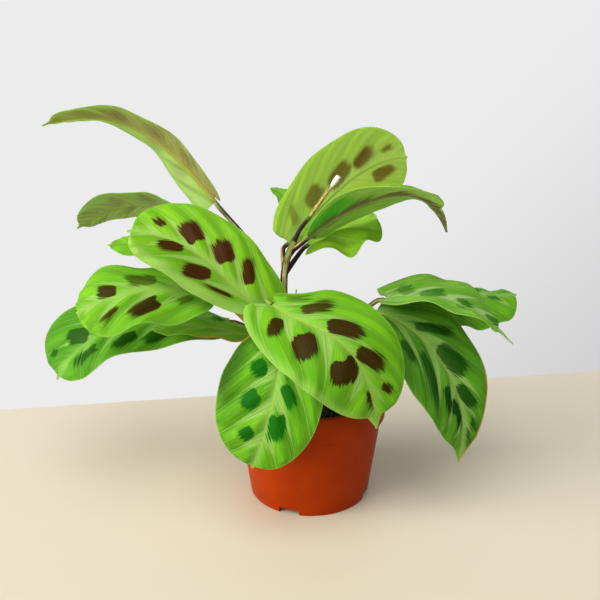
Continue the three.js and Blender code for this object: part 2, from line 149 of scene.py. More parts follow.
LEAVES = {
    "leaf_left_arching": {
        "midrib": ((-64, 18, 200), (-96, 31, 239), (-127, 36, 265), (-176, 21, 249)),
        "face": ((0.3, 1, 0), (0.1, 0.66, 0.7), (0.1, 0.4, 0.9)),
        "halves": (14, 22), "fold": (4, 18), "curl": (5, 5), "widest": (0.66, 0.3), "lobes": (14, 2),
        "look": "arching", "point": (0.06, 0.3), "blunt": 2.7,
        "spots": (
            (-1, 26, 4, 37, 9, 3.5, 0, 0.5), (-1, 52, 4, 63, 10, 4, 0, 0.5),
            (-1, 79, 4, 90, 9, 3.5, 0, 0.5), (1, 27, 5, 39, 14, 4.5, 1, 0.5),
            (1, 52, 5, 65, 15, 5, 1, 0.5), (1, 80, 5, 91, 12, 4, 0, 0.5), (1, 104, 4, 112, 9, 3, 0, 0.5),
        ),
    },
    "leaf_left_back": {
        "midrib": ((-69, 30, 165), (-88, 50, 199), (-139, 63, 201), (-172, 62, 174)),
        "face": ((0.1, 0.4, 0.9), (0.1, 0.42, 0.9), (0.1, 0.5, 0.86)),
        "halves": (19, 17), "fold": (5, -5), "curl": (10, -10), "wave": (1, 3, 4.4),
        "widest": (0.6, 0.42), "blunt": 2.3, "look": "back", "point": (0.05, 0.2),
        "spots": (
            (-1, 28, 5, 40, 14, 4.5, 1, 0.6), (-1, 53, 5, 65, 14, 5, 1, 0.6),
            (-1, 80, 4, 89, 11, 4, 0, 0.5), (1, 24, 4, 36, 12, 4, 1, 0.6),
            (1, 49, 5, 61, 13, 4.5, 1, 0.6), (1, 76, 4, 86, 10, 3.5, 0, 0.5),
        ),
    },
    "leaf_left_upper": {
        "midrib": ((-34, -15, 136.5), (-57, -17, 153), (-68, -6, 181), (-118, -4, 184)),
        "face": ((0, -0.6, 0.8),) * 3,
        "halves": (29, 31), "fold": (12, 12), "wave": (0.8, 3, 0), "widest": (0.68, 0.5), "blunt": 2.8,
        "lobes": (5, 17), "look": "brown", "band": (-1, 7), "lean": (1.6, 1.4),
        "spots": (
            (1, 13, 8.5, 26.5, 18.5, 4, 0, 1), (1, 33, 7.5, 46, 16, 6, 1.5, 1),
            (1, 55, 6, 68, 14.5, 6, 1.5, 1), (1, 77.5, 9, 84.5, 9, 2.5, 0, 1),
            (-1, 16.5, 8, 31, 15.5, 2, 0, 1), (-1, 35.5, 7, 50.5, 18, 5, 0, 1),
            (-1, 59.5, 2.5, 76, 8.5, 6, 1.5, 1),
        ),
    },
    "leaf_left_hidden": {
        "midrib": ((-58, 4, 155), (-77, 11, 168), (-110, 21, 174), (-138, 20, 170)),
        "face": ((0, -0.35, 0.94),) * 3,
        "halves": (17, 16), "wave": (1.2, 3, 0), "lobes": (4, 3), "look": "shaded", "small": True,
    },
    "leaf_left_middle": {
        "midrib": ((-62, -12, 142), (-90, -26, 156), (-119, -38, 154), (-143, -42, 140)),
        "face": ((0, -0.5, 0.86), (0, -0.5, 0.86), (-0.3, -0.6, 0.8)),
        "halves": (28, 29), "fold": (-6, -6), "wave": (3.2, 2, 5.3), "widest": (0.58, 0.67), "blunt": 2.9,
        "lobes": (0, 6), "look": "olive", "point": (0.02, 0.06), "lean": (1.4, 1.4),
        "spots": (
            (1, 37, 9, 55, 12, 6.5, 0, 0.65), (1, 62.5, 4, 73.5, 7, 5.5, 0, 1),
            (-1, 16.5, 6.5, 27.5, 10, 2.5, 0, 0.6), (-1, 38.5, 9, 58, 19, 5.5, 1.5, 1),
            (-1, 64, 10, 76, 16, 2.6, 0, 1),
        ),
    },
    "leaf_left_low": {
        "midrib": ((-58, 28, 113), (-89, 29, 117), (-149, 4, 130), (-173, -4, 81)),
        "face": ((0, -0.5, 0.85), (0, -0.55, 0.83), (-0.3, -0.65, 0.7)),
        "halves": (25, 33), "wave": (3, 2.2, 2.8), "widest": (0.55, 0.78), "blunt": 2.8, "lobes": (4, 0),
        "look": "deep", "point": (0.03, 0.1), "dry": (1, 0.88, 1.1, 0.9), "lean": (1.2, 1.2),
        "spots": (
            (1, 97, 4.5, 109.5, 13, 6, 0, 0.9), (1, 120, 10.5, 123, 16.5, 2.5, 0, 0.8),
            (-1, 94.5, 9.5, 113.5, 8, 3.5, 1.5, 0.9), (-1, 66, 11, 85.5, 16.5, 4, 0, 1),
            (-1, 41, 8.5, 61.5, 19, 5, 0, 1),
        ),
    },
    "leaf_left_inner": {
        "midrib": ((-41, 0, 112), (-60, 1, 117), (-80, 0, 123), (-107, 0, 116)),
        "face": ((0, -0.1, 1),) * 3,
        "halves": (17, 17), "lobes": (3, 3), "look": "shaded", "dry": (-1, 0.05, 0.6, 1), "small": True,
        "spots": ((1, 18, 10.5, 26, 16.5, 3.5, 0, 0.7),),
    },
    "leaf_front_large": {
        "midrib": ((-24, -25, 141), (-5, -48, 130), (33, -62, 144), (41, -58, 72)),
        "face": ((0, -0.7, 0.7), (0, -0.8, 0.6), (0.2, -0.8, 0.5)),
        "halves": (30, 37), "fold": (6, 11), "curl": (-10, -10), "widest": (0.64, 0.57), "blunt": 2.4,
        "lobes": (11, 17), "look": "front", "point": (0.07, 0.24), "band": (1, 4), "lean": (2, 0.8),
        "spots": (
            (1, 11.5, 6, 18.5, 17.5, 4, 0, 1), (1, 32, 8, 43.5, 22, 7.5, 1.2, 1),
            (1, 60.5, 7, 77, 13, 9.5, 5, 1), (1, 88.5, 2, 100, 2, 1.8, 0, 1),
            (-1, 7, 8.5, 21, 16, 2, 0, 0.45), (-1, 21.5, 7.5, 39, 15.5, 4, 0, 0.9),
            (-1, 42, 4, 59.5, 12.5, 5, 0, 1), (-1, 65, 2.5, 78.5, 14, 5, 0, 1),
            (-1, 88.5, 7, 93.5, 12.5, 2.5, 0, 1),
        ),
    },
    "leaf_front_low": {
        "midrib": ((-17, -36, 126), (-19, -67, 107), (-22, -65, 84), (-35, -68, 50)),
        "face": ((-0.1, -0.8, 0.6), (-0.1, -0.95, 0.2), (0, -0.95, 0.1)),
        "halves": (30, 34), "fold": (4, 4), "curl": (-10, -10), "wave": (0.8, 3, 0),
        "widest": (0.47, 0.5), "blunt": 2.5, "lobes": (5, 5), "look": "green", "point": (0.02, 0.08),
        # dusk: painted shade along the right margin, where the blade turns away from the light.
        "dry": (1, -0.1, 0.14, 1.2), "painted_margin_shade": (1, 0.02, 0.75, 17), "lean": (1.3, 0.8),
        "spots": (
            (1, 25, 6.5, 27.5, 16, 5.5, 0, 1), (1, 42.5, 8, 51.5, 17, 6, 1.5, 1),
            (1, 65, 7, 71.5, 13, 4, 0, 1), (-1, 35, 5, 45, 13, 3.5, 0, 1),
            (-1, 51.5, 4, 67, 9, 5.5, 1.5, 1),
        ),
    },
    "leaf_right_upper": {
        "midrib": ((49, -6, 139), (80, -19, 146), (98, -22, 146), (129, -26, 116)),
        "face": ((0, -0.1, 1), (0, -0.1, 1), (0, -0.2, 1)),
        "halves": (33, 25), "fold": (13, 18), "curl": (-10, -10), "wave": (1.8, 2.5, 2.6),
        "widest": (0.36, 0.5), "lobes": (16, 5), "look": "sheen", "point": (0.18, 0.16), "lean": (1.4, 1.4),
        "spots": (
            (-1, 7, 7, 14, 14.5, 6.5, 0, 0.5), (-1, 23, 2.5, 36.5, 9, 4, 0, 0.65),
            (-1, 46, 5, 57, 2.5, 2.5, 0, 0.75), (-1, 66.5, 5.5, 76.5, 3.5, 3, 0, 0.75),
            (1, 46, 15, 53, 14, 2.5, 0, 0.5),
        ),
    },
    "leaf_right_back": {
        "midrib": ((61, 10, 132), (88, 20, 141), (124, 33, 130), (147, 36, 132)),
        "face": ((0, -0.33, 0.95),) * 3,
        "halves": (25, 28), "fold": (-22, -22), "wave": (2, 3, 0), "blunt": 2.3,
        "look": "green", "point": (0.03, 0.1),
        "spots": (
            (1, 67.5, 2, 75.5, 3, 1.5, 0, 0.8), (-1, 13, 5, 23, 16, 5, 1, 1), (-1, 34, 5, 45, 17, 5.5, 1, 1),
            (-1, 57, 5, 65, 13, 4, 0, 1), (1, 13, 5, 23, 17, 5, 1, 1), (1, 33, 5, 44, 18, 5.5, 1, 1),
        ),
    },
    "leaf_right_drooping": {
        "midrib": ((44, -4, 130), (66, -18, 129), (107, -43, 100), (97, -36, 38)),
        "face": ((0.2, -0.75, 0.6), (0.3, -0.75, 0.6), (0.3, -0.9, 0.2)),
        "halves": (27, 33), "fold": (8, 8), "wave": (1.5, 3, 0), "widest": (0.45, 0.52), "blunt": 1.8,
        "lobes": (0, 6), "look": "drooping", "point": (0.1, 0.3), "dry": (-1, 0.6, 1.1, 0.8),
        "lean": (1.6, 2.2),
        "spots": (
            (-1, 27, 3, 45, 18, 3.5, 0, 0.8), (-1, 46.5, 2.5, 67.5, 10.5, 6.5, 0, 0.8),
            (-1, 72.5, 1.5, 90, 8.5, 3.5, 0, 0.9), (-1, 95, 6, 102, 6.5, 1, 0, 0.8),
            (-1, 101.5, 3, 111.5, 4, 1, 0, 0.8), (1, 41.5, 10, 76, 19.5, 3, 0, 0.9),
            (1, 69, 8, 86, 11, 3, 0, 1), (1, 79.5, 5.5, 99.5, 3, 3, 0, 1),
            (1, 28.5, 12.5, 44, 20, 2.5, 0, 0.8),
        ),
    },
    "leaf_top_upright": {
        "midrib": ((-15, 12, 173), (6, 31, 194), (36, 57, 226), (67, 47, 227)),
        "face": ((-0.35, 0.85, 0.35), (-0.35, 0.85, 0.35), (-0.2, 0.8, 0.5)),
        "halves": (37, 33), "fold": (5, 5), "curl": (5, 5), "wave": (0.8, 3, 0), "widest": (0.73, 0.5),
        "blunt": 2.4, "lobes": (4, 8), "look": "upright", "point": (0.02, 0.05), "lean": (1.2, 1.2),
        "spots": (
            (1, 93, 7, 99.5, 10.5, 2.5, 0, 0.8), (1, 72, 6.5, 87.5, 12.5, 5, 0, 1),
            (1, 49, 6, 69, 12, 6, 0, 0.9), (1, 28, 7, 43, 13, 6.5, 0, 0.8),
            (1, 13.5, 3.5, 17.5, 17.5, 3, 0, 0.5), (-1, 82.5, 11, 99, 9.5, 6, 0, 0.9),
        ),
    },
    "leaf_top_arching": {
        "midrib": ((-1, -3, 180), (18, -8, 198), (70, -21, 232), (84, -22, 187)),
        "face": ((-0.2, 0.5, 0.75), (-0.1, 0.35, 0.9), (0, 0.25, 0.95)),
        "halves": (24, 28), "curl": (5, 5), "wave": (2, 1.4, 5.2), "widest": (0.45, 0.7), "blunt": 2.6,
        "lobes": (0, 2), "look": "striped", "point": (0.2, 0.4),
        "spots": ((1, 4, 6, 42, 13, 5.5, 0, 0.9),),
    },
    "leaf_top_back": {
        "midrib": ((-1, 9, 173), (14, 16, 184), (36, 17, 184), (44, 18, 191)),
        "face": ((0, -0.45, 0.9),) * 3,
        "halves": (16, 24), "fold": (20, 0), "curl": (-10, -10), "wave": (6, 2, 5.97),
        "widest": (0.5, 0.58), "blunt": 1.9, "lobes": (2, 12), "look": "fresh", "small": True,
        "point": (0.04, 0.1),
    },
    "leaf_top_behind": {
        "midrib": ((-11, 22, 172), (-12, 38, 190), (-14, 56, 199), (-29, 68, 203)),
        "face": ((0.2, -0.3, 0.9),) * 3,
        "halves": (8, 11), "fold": (10, 10), "lobes": (2, 2), "look": "shaded", "point": (0.03, 0.1),
        "small": True,
    },
}

# What each kind of blade looks like, as sRGB hex: the upper side's green, its darker green in the fine
# streaks, which also gives the painted shade beside the veins, the pale fishbone, the blotches and the haze
# at their outer end, then the strength of the fishbone and of the vein lines, and how much light comes
# through.
LOOKS = {
    "front": ("86CE20", "66B41A", "B0DE6A", "4A2A00", "1E5208", 0.65, 0.2, 0.4),
    "brown": ("9ADA26", "78C21E", "C4EC78", "521F00", "5A5A0A", 0.7, 0.3, 0.4),
    "olive": ("90D82C", "6ABA1E", "C4EC80", "482A00", "3E7010", 0.55, 0.2, 0.4),
    "deep": ("68B622", "448E14", "90CC5C", "1C5200", "2A7A10", 0.65, 0.2, 0.25),
    "green": ("7CC820", "4C9A14", "B0DE70", "106C00", "2C8E10", 0.6, 0.25, 0.3),
    # sheen: paler, greyer greens, partly the leaf's own green and partly painted sheen.
    "sheen": ("92CC42", "66AC28", "CCEAA4", "26680E", "3A8E18", 0.65, 0.3, 0.3),
    "drooping": ("60A420", "3A7E10", "A2CE6E", "0C4400", "1E5E08", 0.75, 0.15, 0.25),
    "shaded": ("90D62E", "6AB41E", "AAE062", "2E6212", "3A801A", 0.4, 0.15, 0.5),
    "fresh": ("B0E436", "84C41E", "C4EC78", "2E6212", "3A801A", 0.5, 0.2, 0.6),
    "arching": ("90D62E", "6AB41E", "AAE062", "4A2A04", "4A7016", 0.5, 0.15, 0.6),
    "back": ("90D62E", "6AB41E", "AAE062", "4A2A04", "4A7016", 0.5, 0.15, 0.5),
    "striped": ("90D62E", "6AB41E", "AAE062", "54C82C", "54C82C", 0.4, 0.15, 0.5),
    "upright": ("B8EC40", "94D22C", "C0EA7A", "8A5A1C", "7A8A1C", 0.5, 0.3, 0.8),
}
# The underside: its flesh, the streaks in it, how strong they are, how much stronger they are beside the rib
# and on the right half, its rib, how far the blotches show through as painted shade, and how much light
# comes through.
UNDERSIDES = {
    "arching": ("D0EA90", "AC9060", 0.9, 0.1, -0.14, "C4B848", 0.1, 0.6),
    "back": ("C0D888", "8C745A", 0.85, 0.05, 0, "A8B070", 0.1, 0.6),
    "striped": ("A8D064", "6A4648", 1, 0.2, 0, "8A9A60", 0.9, 0.5),
    # upright: its near-white flesh is partly the underside's pale colour and partly painted glow of light
    # coming through.
    "upright": ("F6FFB4", "CCEE60", 0.9, -0.05, 0, "88BA3C", 0.5, 0.85),
    "green": ("A8D468", "8ABC50", 0.6, 0.1, 0, "B4CC6C", 0.5, 0.5),
}

# The rolled new leaf stands on the upright stem.
ROLLED_LEAF = {"from": (0, -4, 194), "to": (17.5, -10, 219.5), "radii": (1.1, 1.1, 1.8)}

# A leaf stalk runs in line with its blade over the last few millimetres, where it is swollen, and ends
# just short of it.
STALK_LEAD = 5
BLADE_GAP = 0.3
PLANTED = 22
STEM_RINGS = 60
STALK_RINGS = 36
ROLLED_RINGS = 40
SPLINE_STEPS = 24
STEM_SIDES = 28
STALK_SIDES = 20

# Each stem is planted at foot and rises through path, with radii at its two ends. Its leaf stalks leave
# it at a share of its length (at) and pass through via to the base of their blade, or to a point.
USUAL_STALK = {"via": (), "radii": (1.9, 1.4)}
STEMS = {
    "stem_upright": {
        "foot": (-10, 8), "path": ((-15, 5, 110), (-17.5, 2, 141), (-16, 1, 162), (-10.5, 0, 177)),
        "radii": (3.4, 2.2),
        "stalks": (
            {
                "leaf": "leaf_left_arching", "at": 0.62, "via": ((-30, 6, 161), (-46, 13, 180)),
                "radii": (2, 1.4),
            },
            {"leaf": "leaf_top_upright", "at": 0.84, "radii": (2, 1.4)},
            {"leaf": "leaf_top_arching", "at": 0.93, "radii": (2, 1.5)},
            {"leaf": "leaf_top_back", "at": 0.82},
            {"leaf": "leaf_top_behind", "at": 0.9, "radii": (1.8, 1.3)},
            {"to": (0, -4, 193.7), "at": 0.94, "via": ((-6.5, -2, 185),), "radii": (1.8, 1.1)},
        ),
    },
    "stem_left": {
        "foot": (-19, -1), "path": ((-27, -3, 95), (-39, -5, 121), (-53, -6, 136)), "radii": (3.6, 2.6),
        "stalks": (
            {"leaf": "leaf_left_middle", "at": 0.96, "radii": (2, 1.5)},
            {"leaf": "leaf_left_hidden", "at": 0.9, "via": ((-56, 0, 144),)},
            {"leaf": "leaf_left_back", "at": 0.82, "via": ((-47, 0, 142), (-51, 10, 155), (-60, 20, 163))},
            {"leaf": "leaf_left_low", "at": 0.55, "via": ((-32, 12, 103), (-42, 23, 109))},
            {"leaf": "leaf_left_inner", "at": 0.4, "via": ((-33, 0, 104),)},
        ),
    },
    "stem_front": {
        "foot": (-9, -13), "path": ((-13, -17, 92), (-18, -20, 116), (-22, -22, 137)), "radii": (3.4, 1.6),
        "stalks": (
            {"leaf": "leaf_front_large", "at": 0.98, "radii": (1.6, 1.5)},
            {
                "leaf": "leaf_left_upper", "at": 0.45, "via": ((-24, -18, 116), (-27.5, -16.5, 127)),
                "radii": (2, 1.2),
            },
            {"leaf": "leaf_front_low", "at": 0.3, "via": ((-13, -27, 108),), "radii": (2, 1.4)},
            {"to": (-9, -10, 147), "at": 0.35, "via": ((-11, -14, 118),), "radii": (2, 0.4)},
        ),
    },
    "stem_right": {
        "foot": (12, 3), "path": ((18, 1, 95), (28, -1, 117), (36, -4, 132)), "radii": (3.4, 2),
        "stalks": (
            {"leaf": "leaf_right_upper", "at": 0.98, "radii": (1.7, 1.5)},
            {"leaf": "leaf_right_drooping", "at": 0.8},
            {"leaf": "leaf_right_back", "at": 0.7, "via": ((42, 3, 124),)},
        ),
    },
}


# Small helpers.

def linear(hex_colour):
    """An sRGB hex colour as linear RGBA."""
    parts = [int(hex_colour[i:i + 2], 16) / 255 for i in (0, 2, 4)]
    return tuple(p / 12.92 if p <= 0.04045 else ((p + 0.055) / 1.055) ** 2.4 for p in parts) + (1,)


def mix(a, b, share):
    return a + (b - a) * share


def clamp(value, low=0.0, high=1.0):
    return max(low, min(high, value))


def smooth(low, high, value):
    share = clamp((value - low) / (high - low))
    return share * share * (3 - 2 * share)


def new_object(name, bm, materials, sharp_deg=None):
    """Makes an object of a bmesh, smooth but for edges sharper than sharp_deg."""
    mesh = bpy.data.meshes.new(name)
    bm.to_mesh(mesh)
    bm.free()
    for material in materials:
        mesh.materials.append(material)
    mesh.shade_smooth()
    if sharp_deg:
        mesh.set_sharp_from_angle(angle=math.radians(sharp_deg))
    made = bpy.data.objects.new(name, mesh)
    bpy.context.scene.collection.objects.link(made)
    return made


def settle(piece, sharp_deg):
    """Applies a piece's modifiers, and keeps edges sharper than sharp_deg crisp."""
    graph = bpy.context.evaluated_depsgraph_get()
    mesh = bpy.data.meshes.new_from_object(piece.evaluated_get(graph), depsgraph=graph)
    piece.modifiers.clear()
    piece.data = mesh
    mesh.set_sharp_from_angle(angle=math.radians(sharp_deg))


def stand_for(piece, node):
    """The piece is shown in place of its solid."""
    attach(piece, "root")
    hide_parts(node)


def add_node(tree, kind, inputs=(), out=0, **settings):
    """Adds a node with its settings. Its inputs are links, values or hex colours, in order or by name."""
    node = tree.nodes.new("ShaderNode" + kind)
    for name, value in settings.items():
        setattr(node, name, value)
    for name, value in inputs.items() if isinstance(inputs, dict) else enumerate(inputs):
        if isinstance(value, bpy.types.NodeSocket):
            tree.links.new(value, node.inputs[name])
        else:
            node.inputs[name].default_value = linear(value) if isinstance(value, str) else value
    return node.outputs[out] if node.outputs else node


def new_material(name):
    """An empty material, and what adds a node to it and returns one of the node's outputs."""
    material = bpy.data.materials.new(name)
    material.use_nodes = True
    material.node_tree.nodes.clear()
    return material, partial(add_node, material.node_tree)


def drawn_out_noise(add, place, stretch, detail, roughness=0.5):
    """Streaks: noise on a place whose three parts are multiplied by stretch."""
    scaled = add("VectorMath", (place, stretch), operation="MULTIPLY")
    return add("TexNoise", {"Vector": scaled, "Scale": 1.0, "Detail": detail, "Roughness": roughness})


def spun(profile, steps):
    """A bmesh of a profile, as radius and height in mm, turned once round the middle."""
    bm = bmesh.new()
    points = [bm.verts.new((radius * MM, 0, height * MM)) for radius, height in profile]
    edges = [bm.edges.new(pair) for pair in zip(points, points[1:])]
    bmesh.ops.spin(
        bm, geom=points + edges, cent=(0, 0, 0), axis=(0, 0, 1), angle=2 * math.pi, steps=steps,
        use_merge=True,
    )
    bmesh.ops.remove_doubles(bm, verts=bm.verts, dist=1e-6)
    return bm


# Camera, light and floor.

def make_camera():
    data = bpy.data.cameras.new("camera")
    data.lens = CAMERA_LENS
    data.sensor_width = CAMERA_SENSOR
    camera = bpy.data.objects.new("camera", data)
    camera.location = Vector(CAMERA_PLACE) * MM
    camera.rotation_euler = (math.radians(90 - CAMERA_DOWN_DEG), 0, math.radians(CAMERA_TURN_DEG))
    bpy.context.scene.collection.objects.link(camera)
    bpy.context.scene.camera = camera


def make_lamp(name, place, target, width, watts, colour):
    data = bpy.data.lights.new(name, "AREA")
    data.shape = "DISK"
    data.size = width
    data.energy = watts
    data.color = linear(colour)[:3]
    lamp = bpy.data.objects.new(name, data)
    lamp.location = place
    lamp.rotation_euler = (Vector(target) - Vector(place)).to_track_quat("-Z", "Y").to_euler()
    bpy.context.scene.collection.objects.link(lamp)


def make_light():
    """A large soft lamp from the left, another high in front, and a pale room."""
    for name, settings in LAMPS.items():
        make_lamp(name, *settings)
    world = bpy.data.worlds.new("room")
    world.use_nodes = True
    background = world.node_tree.nodes["Background"]
    background.inputs["Color"].default_value = linear(ROOM_COLOUR)
    background.inputs["Strength"].default_value = ROOM_STRENGTH
    bpy.context.scene.world = world
    bpy.context.scene.view_settings.view_transform = "Standard"


def make_floor():
    """A matt painted table top, warm beige, with an even satin reflection."""
    left, right = [Vector((x, y, 0)) * MM for x, y in FLOOR_EDGE]
    along = (right - left).normalized() * FLOOR_REACH * MM
    towards = Vector((along.y, -along.x, 0))
    middle = (left + right) / 2
    bm = bmesh.new()
    corners = (middle - along, middle + along, middle + along + towards, middle - along + towards)
    bm.faces.new([bm.verts.new(corner) for corner in reversed(corners)])
    material, add = new_material("matt_painted_table_top")
    add("OutputMaterial", {"Surface": add("BsdfPrincipled", {"Base Color": "DED3BA", "Roughness": 0.5})})
    floor = new_object("floor", bm, [material])


def make_backdrop():
    """A pale wall far behind that glows by itself, with painted shade low on the right."""
    bm = bmesh.new()
    bmesh.ops.create_grid(bm, x_segments=1, y_segments=1, size=1)
    for vert in bm.verts:
        x, z = vert.co.x * BACKDROP_HALF_WIDTH, vert.co.y * BACKDROP_HALF_HEIGHT
        vert.co = Vector((x, BACKDROP_AT, z)) * MM
    material, add = new_material("pale_wall")
    across, _, height = add("SeparateXYZ", [add("TexCoord", out="Object")]).node.outputs
    # Painted shade: the wall's glow is darker towards its lower right.
    painted_shade_low_right = add("Math", (across, height), operation="SUBTRACT")
    share = add("MapRange", (painted_shade_low_right, 0.2, 1.9), interpolation_type="SMOOTHSTEP")
    colour = add("Mix", {0: share, 6: "ECECED", 7: "D0D0D0"}, out=2, data_type="RGBA")
    add("OutputMaterial", {"Surface": add("Emission", {"Color": colour, "Strength": 1.0})})
    wall = new_object("wall", bm, [material])


# Blades.

def bezier(points, t):
    a, b, c, d = points
    return a * (1 - t) ** 3 + b * 3 * t * (1 - t) ** 2 + c * 3 * t * t * (1 - t) + d * t ** 3


def bezier_way(points, t):
    a, b, c, d = points
    way = (b - a) * (1 - t) ** 2 + (c - b) * 2 * t * (1 - t) + (d - c) * t * t
    return way.normalized()


def body_end(leaf):
    """Where along the blade its oval ends and only its point goes on."""
    return 1 - 0.6 * leaf["point"][0]


def outline_share(leaf, along, hand):
    """Share of the half width at a share of the length: a full oval that ends in a drawn-out point."""
    length, width = leaf["point"]
    body = min(along / body_end(leaf), 1) ** (math.log(0.5) / math.log(leaf["widest"][hand]))
    oval = max(0, 1 - abs(2 * body - 1) ** leaf["blunt"]) ** (1 / leaf["blunt"])
    taper = 0.1 if along < 0.5 else width * min((1 - along) / length, 1)
    return (oval ** 5 + taper ** 5) ** 0.2


def blade_row(leaf, points, along):
    """What every point of one row across the blade shares."""
    base, middle, tip = [Vector(way).normalized() for way in leaf["face"]]
    forward = bezier_way(points, along)
    upper = (
        base * (1 - along) * (1 - 2 * along) + middle * 4 * along * (1 - along)
        + tip * along * (2 * along - 1)
    )
    upper = (upper - forward * upper.dot(forward)).normalized()
    shares = [outline_share(leaf, along, hand) for hand in (0, 1)]
    stalk_end = BASE_HALF_WIDTH * max(0, 1 - along / BASE_SHARE)
    widths = [max(leaf["halves"][hand] * shares[hand], stalk_end, TIP_HALF_WIDTH) for hand in (0, 1)]
    return {
        "along": along, "centre": bezier(points, along), "forward": forward, "upper": upper,
        "right": forward.cross(upper), "shares": shares, "widths": widths,
        "swept": math.exp(-((along / SWEPT_SHARE) ** 2)) * min(1, along / BASE_SHARE),
    }


def sweep_at(leaf, row, hand, out):
    """How far the base's lobe is swept back, in mm, at a share of the half width."""
    wing = max(0, out - LOBES_CLEAR / row["widths"][hand]) ** 0.4
    return leaf["lobes"][hand] * wing * row["swept"]


def blade_point(leaf, row, across):
    """A point of the blade at a share of its half width, and the way its upper side looks there."""
    hand = 1 if across > 0 else 0
    side = 1 if hand else -1
    out = abs(across)
    width = row["widths"][hand]
    fold = math.radians(leaf["fold"][hand])
    curl = math.radians(leaf["curl"][hand]) + 1e-6
    turn = fold + curl * out
    height, count, phase = leaf["wave"]
    ripple = math.sin(2 * math.pi * count * row["along"] + phase + (0 if hand else 1.7))
    lift = width * (math.cos(fold) - math.cos(turn)) / curl
    rise = lift + height * out ** 2 * ripple * min(1, 1.3 * row["shares"][hand])
    reach = width * (math.sin(turn) - math.sin(fold)) / curl
    point = row["centre"] + row["right"] * side * reach + row["upper"] * rise
    point -= row["forward"] * sweep_at(leaf, row, hand, out)
    normal = row["upper"] * math.cos(turn) - row["right"] * side * math.sin(turn)
    return point, normal


def row_share(leaf, step):
    """Where along the blade a row lies: closest at the two ends of its oval."""
    end = body_end(leaf)
    if step < BODY_ROWS_SHARE:
        return end * (1 - math.cos(math.pi * step / BODY_ROWS_SHARE)) / 2
    return mix(end, 1, (step - BODY_ROWS_SHARE) / (1 - BODY_ROWS_SHARE))


def vein_place(leaf, side, along, out):
    """Where on the midrib the side vein through a point of the blade starts."""
    lean = leaf["lean"][1 if side > 0 else 0]
    return along - lean * out - VEIN_BEND * out * out


def stations_of(leaf, side):
    """Where the main side veins start: one between every two blotches, and on evenly past them."""
    spots = [spot for spot in leaf["spots"] if spot[0] == side]
    middles = sorted(vein_place(leaf, side, (s[1] + s[3]) / 2, (s[2] + s[4]) / 2) for s in spots)
    between = [(a + b) / 2 for a, b in zip(middles, middles[1:]) if b - a > PANEL / 4]
    gap = clamp((between[-1] - between[0]) / (len(between) - 1), 14, PANEL) if len(between) > 1 else PANEL
    if not between:
        between = [middles[0] - gap / 2 if middles else 0.3 * gap]
    before = [between[0] - gap * i for i in range(8, 0, -1)]
    after = [between[-1] + gap * i for i in range(1, 9)]
    return before + between + after


def panel_at(stations, place):
    """Counts the main side veins up to a place on the midrib, with the share of the panel it lies in."""
    for i, (low, high) in enumerate(zip(stations, stations[1:])):
        if place < high:
            return max(0, i + (place - low) / (high - low))
    return len(stations) - 1.0


def blotch_at(leaf, hand, along, out):
    """A point's depth inside a blotch, in mm, its share of the way outwards, and the blotch's strength."""
    best, ragged, strength = -20.0, 0.0, 1.0
    for side, near_along, near_out, far_along, far_out, half_width, notch, full in leaf["spots"]:
        if side != hand:
            continue
        way = Vector((far_along - near_along, far_out - near_out)) / 2
        off = Vector((along - (near_along + far_along) / 2, out - (near_out + far_out) / 2))
        x = off.dot(way) / way.length_squared
        y = (off.y * way.x - off.x * way.y) / (way.length * half_width)
        y += 0.35 * x * noise.noise(Vector((near_along, near_out, side)))
        depth = (1 - (abs(x) ** 3.6 + abs(y) ** 3) ** (1 / 3.3)) * min(way.length, half_width)
        depth -= notch * math.exp(-((y / 0.3) ** 2)) * smooth(0, 1, -x)
        if depth > best:
            best, ragged, strength = depth, clamp((x + 1) / 2), full
    return best, ragged, strength


def pale_at(leaf, hand, panel, out, share, rim):
    """A point's depth inside the pale fishbone, in mm: a zone along the midrib, with a spike at each vein."""
    near = abs(panel - round(panel))
    spike = SPIKE_REACH * (out + rim) * (1 - near / SPIKE_FOOT) if near < SPIKE_FOOT else 0
    bone = mix(*BONE_HALF_WIDTHS, share) + spike * smooth(1.02, 0.8, share) - out
    # band is a pale band along one margin, painted sheen, laid over the fishbone.
    side, width = leaf["band"]
    return max(bone, width - rim) if side == hand and width else bone


def dry_at(leaf, hand, share, rim):
    """A point's depth inside the dried edge, in mm."""
    side, low, high, width = leaf["dry"]
    if side != hand:
        return -5
    inside = smooth(low - 0.04, low + 0.04, share) * smooth(high + 0.04, high - 0.04, share)
    return (width + 2) * inside - 2 - rim


def painted_margin_shade_at(leaf, hand, share, rim):
    """How far painted shade deepens the green at a point near the margin, from 0 to 1."""
    side, low, high, width = leaf["painted_margin_shade"]
    if side != hand or high <= low:
        return 0
    return smooth(width, 0.1 * width, rim) * smooth(low, low + 0.1, share) * smooth(high, high - 0.25, share)


